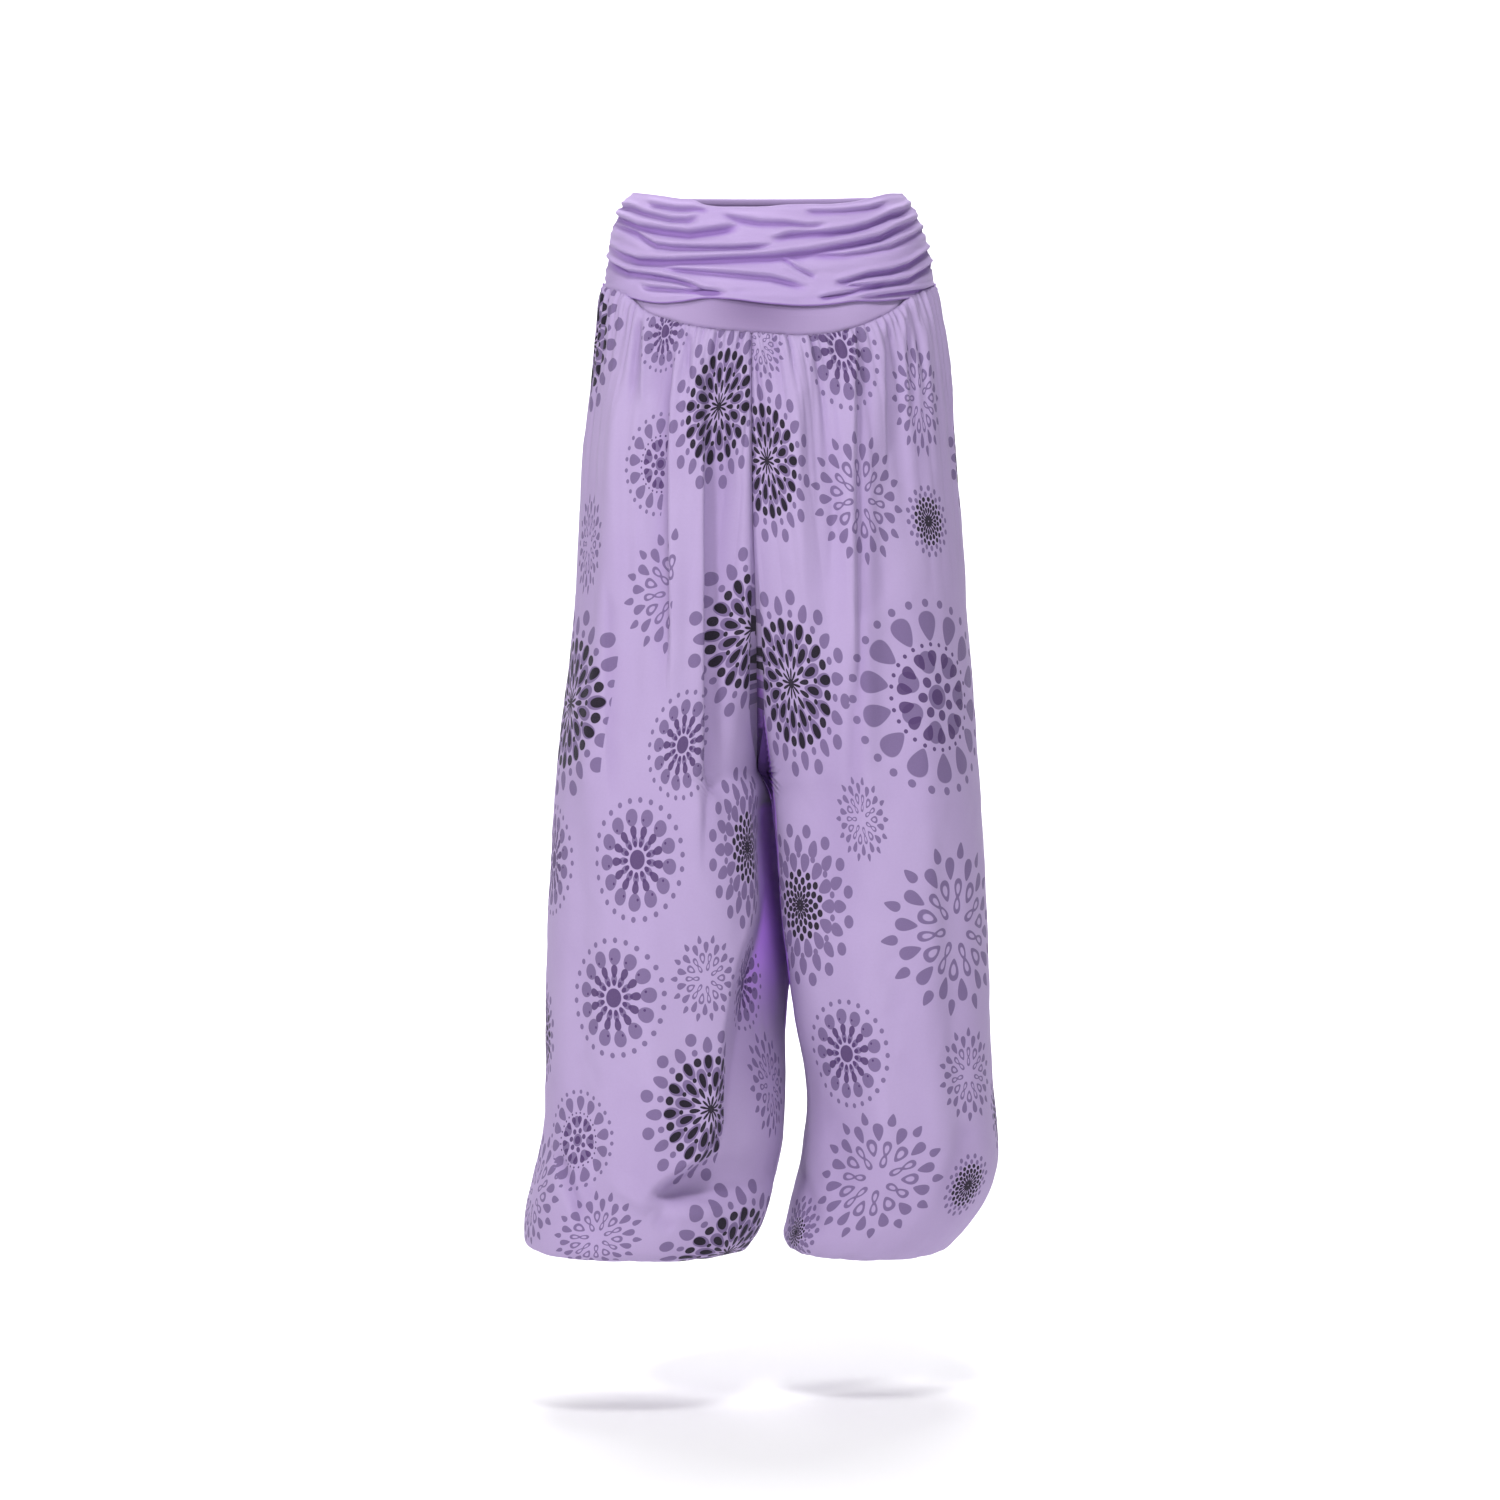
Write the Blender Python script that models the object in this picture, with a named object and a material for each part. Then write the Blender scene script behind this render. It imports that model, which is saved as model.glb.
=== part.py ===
"""Harem trousers, worn and hollow: a ruched sash over a plain yoke, four gathered leg
panels that blouse over the ankles, and two elastic ankle casings.

Metres, +Z up. The front faces -Y, so the wearer's right leg is on the -X side. The origin
is the middle of the waist opening. Every sheet of cloth is a closed wall round a middle
surface: a level of the garment is half an oval, read from the tables below, and folds and
gathers move its points along the oval's own normal.
"""

import functools
import math

import bpy
import numpy as np

# Cloth and seams
LEG_WALL = 0.0012
JERSEY_WALL = 0.0016
CASING_WALL = 0.0024
SEAM_GAP = 0.0003

# Main levels, measured down from the middle of the waist opening
CROTCH_DOWN = 0.523
FRONT_RISE_CURVE = 0.25
BACK_RISE_CURVE = 0.29
GATHER_DOWN = 0.24
SETTLED_DOWN = 0.75
SEAM_EASE = 0.022
CROTCH_SPREAD = 0.0014
SHIFT_END = 0.950
SPREAD_LENGTH = 0.006
SPREAD_FADE = 0.060
RISE_POWERS = (1.4, 1.5)
NEAR_CROTCH = 0.001
BELOW_CROTCH = 0.004

# How far the layers lie inside the outline of the hips
SASH_INSET = 0.0035
SASH_EDGE_INSET = 0.0053
YOKE_INSET = 0.0074
PUFF_LENGTH = 0.006

# Ovals: 2 is an ellipse, more is squarer
OVAL_POWER = 2.25
CURVE_STEPS = 160
NORMAL_STEP = 0.004
SHARP_ANGLE = math.radians(50.0)

# Sash and yoke edges, at the side seams and how much lower in the middle
SASH_TOP_SIDE = -0.007
SASH_TOP_DIP = {"front": 0.019, "back": 0.004}
SASH_BOTTOM_SIDE = 0.083
SASH_BOTTOM_DIP = {"front": 0.017, "back": 0.011}
SASH_RELIEF = 0.0020
SASH_SIDE_EASE = 0.45
BAND_COLUMNS = {"front": 24, "back": 20}
YOKE_TOP_BELOW_SASH = 0.001
YOKE_SIDE = 0.0890
YOKE_DIP = {"front": 0.040, "back": 0.030}
YOKE_ROWS = 5
DIP_POWER = 2.2

# Gathers: waves in each panel at the yoke and at the ankle, with two columns to a wave
YOKE_GATHERS = {"front": 18, "back": 14}
ANKLE_GATHERS = {"front": 12, "back": 12}
GATHER_DEPTH = 0.0013
GATHER_LENGTH = 0.030
GATHER_UNEVEN = 0.35
GATHER_UNEVEN_TURN = 17.0
GATHER_EDGE = 0.03
ANKLE_GATHER_DEPTH = 0.0016
ANKLE_GATHER_TOP = 1.02
ANKLE_GATHER_EASE = 0.6
FOLD_TOP_FADE = 0.25
FOLD_BOTTOM_FADE = 0.35
PANEL_COLUMNS = {"front": 18, "back": 14}

# Ankle casings
ANKLE_ALONG = 1.100
CASING_RADIUS = 0.0430
CASING_HEIGHT = 0.022
CASING_RISE = 0.002
CASING_WAVES = 14
CASING_FRILL = 0.0012

# The hips: down, right side, left side, centre seam, front, back
HIPS = (
    (-0.010, -0.131, 0.130, -0.004, -0.091, 0.093),
    (0.002, -0.141, 0.138, -0.005, -0.096, 0.098),
    (0.020, -0.149, 0.148, -0.008, -0.101, 0.104),
    (0.045, -0.155, 0.156, -0.012, -0.107, 0.111),
    (0.080, -0.159, 0.161, -0.017, -0.112, 0.119),
    (0.100, -0.161, 0.164, -0.020, -0.115, 0.123),
    (0.130, -0.164, 0.170, -0.022, -0.119, 0.128),
    (0.182, -0.170, 0.176, -0.021, -0.123, 0.136),
    (0.240, -0.177, 0.180, -0.019, -0.125, 0.141),
    (0.310, -0.181, 0.186, -0.018, -0.126, 0.141),
    (0.380, -0.185, 0.190, -0.016, -0.127, 0.134),
    (0.450, -0.1915, 0.1958, -0.0140, -0.128, 0.1275),
    (CROTCH_DOWN, -0.2005, 0.2006, -0.0105, -0.129, 0.1245),
)

# Each leg: along the cloth, down, outer side, inner side, front, back
LEGS = {
    "right": (
        (CROTCH_DOWN, 0.523, -0.2005, -0.0105, -0.1290, 0.1245),
        (0.533, 0.533, -0.2016, -0.0103, -0.1292, 0.1241),
        (0.545, 0.545, -0.2029, -0.0056, -0.1294, 0.1237),
        (0.560, 0.560, -0.2041, 0.0012, -0.1310, 0.1215),
        (0.590, 0.590, -0.2062, 0.0075, -0.1350, 0.1160),
        (0.614, 0.614, -0.2074, 0.0115, -0.1380, 0.1120),
        (0.672, 0.672, -0.2102, 0.0190, -0.147, 0.100),
        (0.730, 0.730, -0.2122, 0.0235, -0.153, 0.092),
        (0.787, 0.787, -0.2131, 0.0180, -0.158, 0.086),
        (0.845, 0.845, -0.2131, 0.0173, -0.161, 0.081),
        (0.874, 0.874, -0.2140, 0.0163, -0.163, 0.078),
        (0.902, 0.902, -0.2179, 0.0144, -0.165, 0.075),
        (0.931, 0.931, -0.2246, 0.0086, -0.166, 0.072),
        (0.960, 0.960, -0.2314, 0.0010, -0.166, 0.069),
        (0.989, 0.986, -0.2333, -0.0086, -0.164, 0.066),
        (1.003, 0.997, -0.2315, -0.0150, -0.161, 0.063),
        (1.016, 1.0045, -0.2240, -0.0220, -0.154, 0.056),
        (1.031, 1.0070, -0.2100, -0.0340, -0.140, 0.043),
        (1.050, 1.0025, -0.1920, -0.0520, -0.121, 0.023),
        (1.075, 0.9920, -0.1730, -0.0720, -0.100, 0.001),
        (ANKLE_ALONG, 0.9875, -0.1665, -0.0795, -0.0935, -0.0065),
    ),
    "left": (
        (CROTCH_DOWN, 0.523, 0.2006, -0.0105, -0.1290, 0.1245),
        (0.533, 0.533, 0.2013, -0.0088, -0.1291, 0.1243),
        (0.545, 0.545, 0.2022, -0.0044, -0.1291, 0.1240),
        (0.560, 0.560, 0.2036, -0.0012, -0.1288, 0.1246),
        (0.590, 0.590, 0.2058, 0.0024, -0.1275, 0.1261),
        (0.614, 0.614, 0.2074, 0.0055, -0.1265, 0.1270),
        (0.672, 0.672, 0.2102, 0.0120, -0.122, 0.130),
        (0.730, 0.730, 0.2131, 0.0185, -0.119, 0.131),
        (0.787, 0.787, 0.2146, 0.0260, -0.117, 0.132),
        (0.845, 0.845, 0.2170, 0.0365, -0.115, 0.132),
        (0.874, 0.874, 0.2198, 0.0374, -0.114, 0.131),
        (0.902, 0.902, 0.2227, 0.0346, -0.113, 0.130),
        (0.931, 0.931, 0.2218, 0.0307, -0.111, 0.127),
        (0.960, 0.960, 0.2112, 0.0230, -0.107, 0.122),
        (0.989, 0.985, 0.1948, 0.0182, -0.101, 0.115),
        (1.003, 0.9965, 0.1850, 0.0150, -0.096, 0.109),
        (1.016, 1.0055, 0.1760, 0.0175, -0.090, 0.102),
        (1.031, 1.0105, 0.1670, 0.0270, -0.081, 0.092),
        (1.050, 1.0060, 0.1550, 0.0390, -0.067, 0.078),
        (1.075, 0.9950, 0.1430, 0.0490, -0.046, 0.057),
        (ANKLE_ALONG, 0.9900, 0.1395, 0.0525, -0.0385, 0.0485),
    ),
}

# The front leg's inner cloth hangs back behind a long fold: along, edge of the fold, depth
SET_BACK = (
    (0.534, -0.0105, 0.000),
    (0.552, -0.0105, 0.036),
    (0.600, -0.0105, 0.080),
    (0.680, -0.0105, 0.070),
    (0.730, -0.0260, 0.068),
    (0.780, -0.0350, 0.072),
    (0.850, -0.0440, 0.072),
    (0.910, -0.0480, 0.062),
    (0.945, -0.0500, 0.030),
    (0.985, -0.0500, 0.000),
)

# Below the crotch the inner seams pass each other: along, how far back of the leg's middle
INNER_SHIFT = {
    "right": (
        (CROTCH_DOWN, 0.000), (0.533, 0.000), (0.545, 0.016), (0.560, 0.034), (0.590, 0.050),
        (0.620, 0.058), (0.760, 0.058), (0.850, 0.030), (SHIFT_END, 0.000),
    ),
    "left": (
        (CROTCH_DOWN, 0.000), (0.533, 0.000), (0.545, -0.016), (0.560, -0.034),
        (0.590, -0.052), (0.620, -0.060), (0.760, -0.058), (0.850, -0.026), (SHIFT_END, 0.000),
    ),
}
SET_BACK_WIDTH = 0.014
SET_BACK_LIMIT = 0.95

# Folds of each panel: place across the width seen from the front, from the outer side (0)
# to the inner seam (1), lean across for each metre down, top, bottom, height (less than 0
# is a trough), the width towards the side seam, the width towards the inner seam
FOLDS = {
    ("right", "front"): (
        (0.21, -0.10, 0.12, 0.68, 0.0050, 0.016, 0.020),
        (0.37, -0.06, 0.12, 0.62, -0.0040, 0.018, 0.012),
        (0.56, -0.05, 0.13, 0.58, 0.0055, 0.010, 0.022),
        (0.80, -0.05, 0.16, 0.64, -0.0080, 0.010, 0.020),
        (0.12, 0.10, 0.52, 0.98, -0.0050, 0.022, 0.022),
        (0.20, 0.90, 0.88, 1.01, -0.0080, 0.014, 0.020),
        (0.42, 0.05, 0.62, 0.94, 0.0060, 0.026, 0.026),
    ),
    ("left", "front"): (
        (0.79, -0.04, 0.12, 0.52, 0.0060, 0.012, 0.018),
        (0.64, -0.02, 0.13, 0.44, -0.0040, 0.012, 0.014),
        (0.48, -0.06, 0.12, 0.80, 0.0070, 0.010, 0.026),
        (0.40, -0.06, 0.13, 0.76, -0.0050, 0.020, 0.012),
        (0.26, 0.02, 0.11, 0.32, -0.0035, 0.010, 0.010),
        (0.20, -0.05, 0.56, 1.00, -0.0060, 0.024, 0.020),
        (0.62, -0.08, 0.66, 0.98, 0.0055, 0.024, 0.024),
    ),
    ("right", "back"): (
        (0.16, 0.05, 0.13, 0.62, 0.0050, 0.018, 0.018),
        (0.38, 0.04, 0.14, 0.76, -0.0060, 0.018, 0.014),
        (0.66, 0.03, 0.13, 0.54, 0.0055, 0.014, 0.018),
        (0.30, 0.06, 0.60, 0.98, 0.0065, 0.024, 0.024),
        (0.68, -0.05, 0.62, 1.00, -0.0060, 0.022, 0.022),
    ),
    ("left", "back"): (
        (0.14, 0.06, 0.14, 0.66, -0.0050, 0.018, 0.018),
        (0.34, 0.03, 0.13, 0.60, 0.0060, 0.016, 0.020),
        (0.62, 0.04, 0.14, 0.66, -0.0060, 0.014, 0.018),
        (0.26, -0.04, 0.62, 1.00, 0.0060, 0.024, 0.024),
        (0.64, -0.06, 0.58, 0.96, 0.0060, 0.024, 0.020),
    ),
}

# Sash folds, each a line of crests (1) or hollows (-1), as shares of the sash's height at
# the right side seam, in the middle and at the left side seam
SASH_LINES = (
    (0.00, 0.00, 0.00, 0),
    (0.09, 0.07, 0.06, 1),
    (0.16, 0.15, 0.13, -1),
    (0.21, 0.21, 0.17, 1),
    (0.27, 0.27, 0.22, -1),
    (0.38, 0.37, 0.27, 1),
    (0.46, 0.46, 0.33, -1),
    (0.56, 0.52, 0.38, 1),
    (0.66, 0.58, 0.43, -1),
    (0.70, 0.66, 0.49, 1),
    (0.745, 0.74, 0.55, -1),
    (0.79, 0.79, 0.61, 1),
    (0.83, 0.85, 0.67, -1),
    (0.87, 0.89, 0.74, 1),
    (0.91, 0.93, 0.80, -1),
    (0.95, 0.96, 0.90, 1),
    (1.00, 1.00, 1.00, 0),
)

# Rows of a leg panel: shares of the way from the yoke to GATHER_DOWN, then levels along
GATHER_ROWS = (0.0, 0.045, 0.12, 0.25)
EASED_ROWS = (0.45, 0.70, 1.0)
LEG_ROWS = (
    0.285, 0.335, 0.385, 0.430, 0.468, 0.498, 0.516, CROTCH_DOWN, 0.532, 0.552, 0.590,
    0.640, 0.690, 0.740, 0.790, 0.840, 0.880, 0.915, 0.945, 0.970, 0.992,
)
HEM_ROWS = (1.006, 1.018, 1.031, 1.050, 1.075, ANKLE_ALONG)

# Colour, roughness and metallic value of each cloth
CLOTHS = {
    "printed_viscose": ((0.45, 0.35, 0.60, 1.0), 0.80, 0.0),
    "ruched_jersey": ((0.44, 0.33, 0.62, 1.0), 0.70, 0.0),
    "plain_jersey": ((0.31, 0.22, 0.42, 1.0), 0.75, 0.0),
    "elastic_casing": ((0.40, 0.31, 0.55, 1.0), 0.85, 0.0),
}

OUTWARD = {"right": -1.0, "left": 1.0}
FACING = {"front": -1.0, "back": 1.0}
RISE_CURVE = {"front": FRONT_RISE_CURVE, "back": BACK_RISE_CURVE}


def clear_scene():
    for thing in list(bpy.data.objects):
        bpy.data.objects.remove(thing, do_unlink=True)


def cloth_material(name):
    colour, roughness, metallic = CLOTHS[name]
    material = bpy.data.materials.new(name)
    material.use_nodes = True
    shader = material.node_tree.nodes["Principled BSDF"]
    shader.inputs["Base Color"].default_value = colour
    shader.inputs["Roughness"].default_value = roughness
    shader.inputs["Metallic"].default_value = metallic
    return material


def ease(share):
    """0 to 1 with level ends."""
    share = np.clip(share, 0.0, 1.0)
    return share * share * (3.0 - 2.0 * share)


def follow(table, place):
    """A table's other columns at a place along its first one, on smooth curves."""
    rows = np.array(table, dtype=float)
    knots = rows[:, 0]
    values = rows[:, 1:]
    place = min(max(place, knots[0]), knots[-1])
    after = min(max(int(np.searchsorted(knots, place)), 1), len(knots) - 1)
    slopes = np.gradient(values, knots, axis=0)
    width = knots[after] - knots[after - 1]
    share = (place - knots[after - 1]) / width
    start, end = values[after - 1], values[after]
    leave, arrive = slopes[after - 1] * width, slopes[after] * width
    return (
        start * (2 * share**3 - 3 * share**2 + 1)
        + leave * (share**3 - 2 * share**2 + share)
        + end * (3 * share**2 - 2 * share**3)
        + arrive * (share**3 - share**2)
    )


def oval(middle_x, middle_y, reach_x, reach_y, angles):
    """Points of half an oval; reach_x and reach_y carry their signs."""
    across = np.cos(angles)
    away = np.abs(np.sin(angles)) ** (2.0 / OVAL_POWER)
    x = middle_x + reach_x * np.sign(across) * np.abs(across) ** (2.0 / OVAL_POWER)
    return np.column_stack((x, middle_y + reach_y * away))


def lengths_along(curve):
    """The length of a curve up to each of its points."""
    steps = np.linalg.norm(np.diff(curve, axis=0), axis=1)
    return np.concatenate(([0.0], np.cumsum(steps)))


def place_on(curve, place):
    """The point at a distance along a curve, and the curve's normal to the left."""
    lengths = lengths_along(curve)
    point = np.array([np.interp(place, lengths, curve[:, axis]) for axis in (0, 1)])
    middles = (lengths[1:] + lengths[:-1]) / 2.0
    run = np.diff(curve, axis=0) / np.diff(lengths)[:, None]
    run = np.array([np.interp(place, middles, run[:, axis]) for axis in (0, 1)])
    run /= np.linalg.norm(run)
    return point, np.array([-run[1], run[0]])


def rise_share(climb):
    """How far the two legs have merged, at a share of the way up the crotch curve."""
    climb = min(climb, 1.0)
    return 1.0 - (1.0 - climb ** RISE_POWERS[0]) ** RISE_POWERS[1]


def leg_curve(leg, half, along):
    """One level of a leg panel, from the side seam to the inner seam, seen from above."""
    outward, facing = OUTWARD[leg], FACING[half]
    if along < CROTCH_DOWN:
        right, left, seam, front, back = follow(HIPS, along)
        outer = right if leg == "right" else left
        share = rise_share((CROTCH_DOWN - along) / RISE_CURVE[half])
        reach = abs(seam - outer) / (2.0 - share)
        last = math.acos(-((1.0 - share) ** (OVAL_POWER / 2.0)))
    else:
        _, outer, inner, front, back = follow(LEGS[leg], along)
        below = along - CROTCH_DOWN
        spread = math.exp(-below / SPREAD_FADE) - math.exp(-below / SPREAD_LENGTH)
        inner += outward * CROTCH_SPREAD * spread
        reach = abs(outer - inner) / 2.0
        last = math.pi
    middle_y = (front + back) / 2.0
    depth = facing * (back - front) / 2.0
    angles = np.linspace(0.0, last, CURVE_STEPS)
    curve = oval(outer - outward * reach, middle_y, outward * reach, depth, angles)
    tip_y = middle_y
    if along > CROTCH_DOWN:
        shift = follow(INNER_SHIFT[leg], along)[0]
        inward = ease((curve[:, 0] - outer) / (inner - outer) * 2.0 - 1.0)
        away = np.abs(np.sin(angles)) ** (2.0 / OVAL_POWER)
        curve[:, 1] += shift * inward * (1.0 - away)
        tip_y = middle_y + shift
    if leg == "right" and half == "front" and along > SET_BACK[0][0]:
        edge, back_by = follow(SET_BACK, along)
        set_back = ease((curve[:, 0] - edge) / SET_BACK_WIDTH + 0.5)
        most = SET_BACK_LIMIT * (tip_y - curve[:, 1])
        curve[:, 1] += np.minimum(back_by * set_back, most)
    return curve


@functools.lru_cache(maxsize=None)
def panel_width(leg, half, along):
    """The width of a leg panel at one level, round its curve."""
    return lengths_along(leg_curve(leg, half, along))[-1]


def column_place(leg, half, across, along):
    """How far from the side seam a column lies. Near the crotch, where a panel widens
    fast, the columns by the inner seam take up most of the change."""
    width = panel_width(leg, half, along)
    if not GATHER_DOWN < along < SETTLED_DOWN:
        return across * width
    top = panel_width(leg, half, GATHER_DOWN)
    low = panel_width(leg, half, SETTLED_DOWN)
    share = (along - GATHER_DOWN) / (SETTLED_DOWN - GATHER_DOWN)
    steady = top + (low - top) * ease(share)
    return across * steady + across**2 * (width - steady)


def fold_relief(table, curve, place, along):
    """How far a panel's folds move a point along its normal."""
    lengths = lengths_along(curve)
    shares = (curve[:, 0] - curve[0, 0]) / (curve[-1, 0] - curve[0, 0])
    relief = 0.0
    for across, lean, top, bottom, height, side_width, inner_width in table:
        if not top < along < bottom:
            continue
        gap = place - np.interp(across + lean * (along - top), shares, lengths)
        width = side_width if gap < 0.0 else inner_width
        share = (along - top) / (bottom - top)
        fade = ease(share / FOLD_TOP_FADE) * ease((1.0 - share) / FOLD_BOTTOM_FADE)
        relief += height * fade * math.exp(-((gap / width) ** 2))
    return relief * ease(place / SEAM_EASE) * ease((lengths[-1] - place) / SEAM_EASE)


def yoke_edge(half, across):
    """How far down the yoke's lower seam lies, across from the side (0) to the middle (1)."""
    return YOKE_SIDE + YOKE_DIP[half] * (1.0 - (1.0 - across) ** DIP_POWER)


def leg_point(leg, half, across, along):
    """A point of a leg panel's middle surface."""
    curve = leg_curve(leg, half, along)
    place = column_place(leg, half, across, along)
    point, normal = place_on(curve, place)
    normal *= -OUTWARD[leg] * FACING[half]
    below = max(along - yoke_edge(half, across), 0.0)
    relief = fold_relief(FOLDS[leg, half], curve, place, along)
    relief -= YOKE_INSET * math.exp(-below / PUFF_LENGTH)
    edge = ease(across / GATHER_EDGE) * ease((1.0 - across) / GATHER_EDGE)
    waves = math.cos(2.0 * math.pi * YOKE_GATHERS[half] * across)
    depth = GATHER_DEPTH * (1.0 + GATHER_UNEVEN * math.sin(GATHER_UNEVEN_TURN * across))
    relief += depth * waves * edge * math.exp(-below / GATHER_LENGTH)
    if along > CROTCH_DOWN:
        near = ease((along - ANKLE_GATHER_TOP) / (ANKLE_ALONG - ANKLE_GATHER_TOP))
        waves = math.cos(2.0 * math.pi * ANKLE_GATHERS[half] * across)
        relief += ANKLE_GATHER_DEPTH * near * (1.0 - ANKLE_GATHER_EASE * near) * waves * edge
        down = follow(LEGS[leg], along)[0]
    else:
        down = along
    point = point + normal * relief
    return np.array([point[0], point[1], -down])


def surface_normal(surface, across, along, low, high):
    """The outward normal of a middle surface, from small steps either way."""
    left, right = max(across - NORMAL_STEP, 0.0), min(across + NORMAL_STEP, 1.0)
    up, lower = max(along - NORMAL_STEP, low), min(along + NORMAL_STEP, high)
    run = surface(right, along) - surface(left, along)
    fall = surface(across, lower) - surface(across, up)
    normal = np.cross(run, fall)
    return normal / np.linalg.norm(normal)


def flattened(normal, *axes):
    """A normal with some axes taken out, so that a cut edge lies in the seam's plane."""
    kept = normal.copy()
    for axis in axes:
        kept[axis] = 0.0
    return kept / np.linalg.norm(kept)


def seam_normal(normal, outward, across, along):
    """The normal at a panel's edge, turned into the plane of the seam that it meets."""
    if across == 0.0:
        return flattened(normal, 1)
    if across == 1.0 and along < CROTCH_DOWN - NEAR_CROTCH:
        return flattened(normal, 0)
    if across == 1.0 and along < CROTCH_DOWN + NEAR_CROTCH:
        return np.array([0.0, 0.0, -1.0])
    if across == 1.0 and along < SHIFT_END:
        return np.array([-outward, 0.0, 0.0])
    if across == 1.0:
        return flattened(normal, 1)
    return normal


def panel_rows(half):
    """The rows of a leg panel: for each its share of the gather zone or its level, and
    how many columns it has."""
    gathered = 2 * YOKE_GATHERS[half]
    plain = PANEL_COLUMNS[half]
    hem = 2 * ANKLE_GATHERS[half]
    rows = [(share, None, gathered) for share in GATHER_ROWS]
    rows += [(share, None, plain) for share in EASED_ROWS]
    rows += [(None, level, plain) for level in LEG_ROWS]
    rows += [(None, level, hem) for level in HEM_ROWS]
    return rows


def leg_panel(leg, half, material):
    """One quarter of the legs: a wall from the yoke seam to the ankle casing."""
    outward, facing = OUTWARD[leg], FACING[half]
    turn = -outward * facing

    def surface(across, along):
        return leg_point(leg, half, across, along)

    rows = []
    for share, level, columns in panel_rows(half):
        row = []
        for column in range(columns + 1):
            across = column / columns
            along = level
            if along is None:
                top = yoke_edge(half, across)
                along = top + (GATHER_DOWN - top) * share
            point = surface(across, along)
            low = yoke_edge(half, across)
            normal = turn * surface_normal(surface, across, along, low, ANKLE_ALONG)
            normal = seam_normal(normal, outward, across, along)
            if share == 0.0:
                normal = flattened(normal, 2)
                point[2] -= SEAM_GAP / 2.0
            row.append((set_off_seams(point, leg, half, across, along), normal))
        rows.append(row)
    solid = wall(f"{leg}_leg_{half}", rows, LEG_WALL, turn, material)
    keep_in_own_half(solid, leg)
    return solid


def set_off_seams(point, leg, half, across, along):
    """Moves an edge point half a seam gap away from its seam."""
    moved = point.copy()
    on_inner_seam = across == 1.0 and along >= CROTCH_DOWN
    if across == 0.0 or on_inner_seam:
        moved[1] += FACING[half] * SEAM_GAP / 2.0
    if across == 1.0 and along <= CROTCH_DOWN:
        moved[0] += OUTWARD[leg] * SEAM_GAP / 2.0
    return moved


def keep_in_own_half(solid, leg):
    """Holds a panel's wall on its own side of the centre seam, above and at the crotch."""
    outward = OUTWARD[leg]
    for vertex in solid.data.vertices:
        down = min(-vertex.co.z, CROTCH_DOWN)
        if -vertex.co.z > CROTCH_DOWN + BELOW_CROTCH:
            continue
        seam = follow(HIPS, down)[2] + outward * SEAM_GAP / 2.0
        if outward * (vertex.co.x - seam) < 0.0:
            vertex.co.x = seam


def strips(first, second):
    """Triangles between two rows of numbered points, each row evenly spaced."""
    i = j = 0
    last_i, last_j = len(first) - 1, len(second) - 1
    while i < last_i or j < last_j:
        if j == last_j or (i < last_i and (i + 1) / last_i <= (j + 1) / last_j):
            yield first[i], second[j], first[i + 1]
            i += 1
        else:
            yield first[i], second[j], second[j + 1]
            j += 1


def wall(name, rows, thickness, turn, material):
    """A closed wall of even thickness round a middle surface given as rows of
    (point, normal). turn is 1 where a row runs from right to left seen from outside."""
    points = []
    outer, inner = [], []
    for row in rows:
        outer.append(list(range(len(points), len(points) + len(row))))
        points += [point + normal * thickness / 2.0 for point, normal in row]
        inner.append(list(range(len(points), len(points) + len(row))))
        points += [point - normal * thickness / 2.0 for point, normal in row]
    faces = []
    for upper, lower in zip(outer, outer[1:]):
        faces += strips(upper, lower)
    for upper, lower in zip(inner, inner[1:]):
        faces += [(a, c, b) for a, b, c in strips(upper, lower)]
    faces += strips(inner[0], outer[0])
    faces += strips(outer[-1], inner[-1])
    starts = [row[0] for row in outer], [row[0] for row in inner]
    ends = [row[-1] for row in outer], [row[-1] for row in inner]
    faces += strips(starts[0], starts[1])
    faces += strips(ends[1], ends[0])
    if turn > 0:
        faces = [(a, c, b) for a, b, c in faces]
    return mesh_object(name, points, faces, material)


def mesh_object(name, points, faces, material):
    mesh = bpy.data.meshes.new(name)
    mesh.from_pydata([tuple(point) for point in points], [], [tuple(f) for f in faces])
    mesh.shade_smooth()
    mesh.set_sharp_from_angle(angle=SHARP_ANGLE)
    mesh.materials.append(material)
    solid = bpy.data.objects.new(name, mesh)
    bpy.context.scene.collection.objects.link(solid)
    return solid


def band_point(half, across, down, inset):
    """A point of the sash or yoke, across from the right side seam to the left one."""
    right, left, seam, front, back = follow(HIPS, down)
    leg, outer = ("right", right) if across <= 0.5 else ("left", left)
    middle_y = (front + back) / 2.0
    depth = FACING[half] * (back - front) / 2.0
    quarter = np.linspace(0.0, math.pi / 2.0, CURVE_STEPS)
    curve = oval(seam, middle_y, outer - seam, depth, quarter)
    share = 1.0 - abs(2.0 * across - 1.0)
    point, normal = place_on(curve, share * lengths_along(curve)[-1])
    point = point + OUTWARD[leg] * FACING[half] * normal * inset
    return np.array([point[0], point[1], -down])


def dip(across, depth):
    """How much lower an edge lies than at the side seams, lowest in the middle."""
    return depth * (1.0 - abs(2.0 * across - 1.0) ** DIP_POWER)


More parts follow.
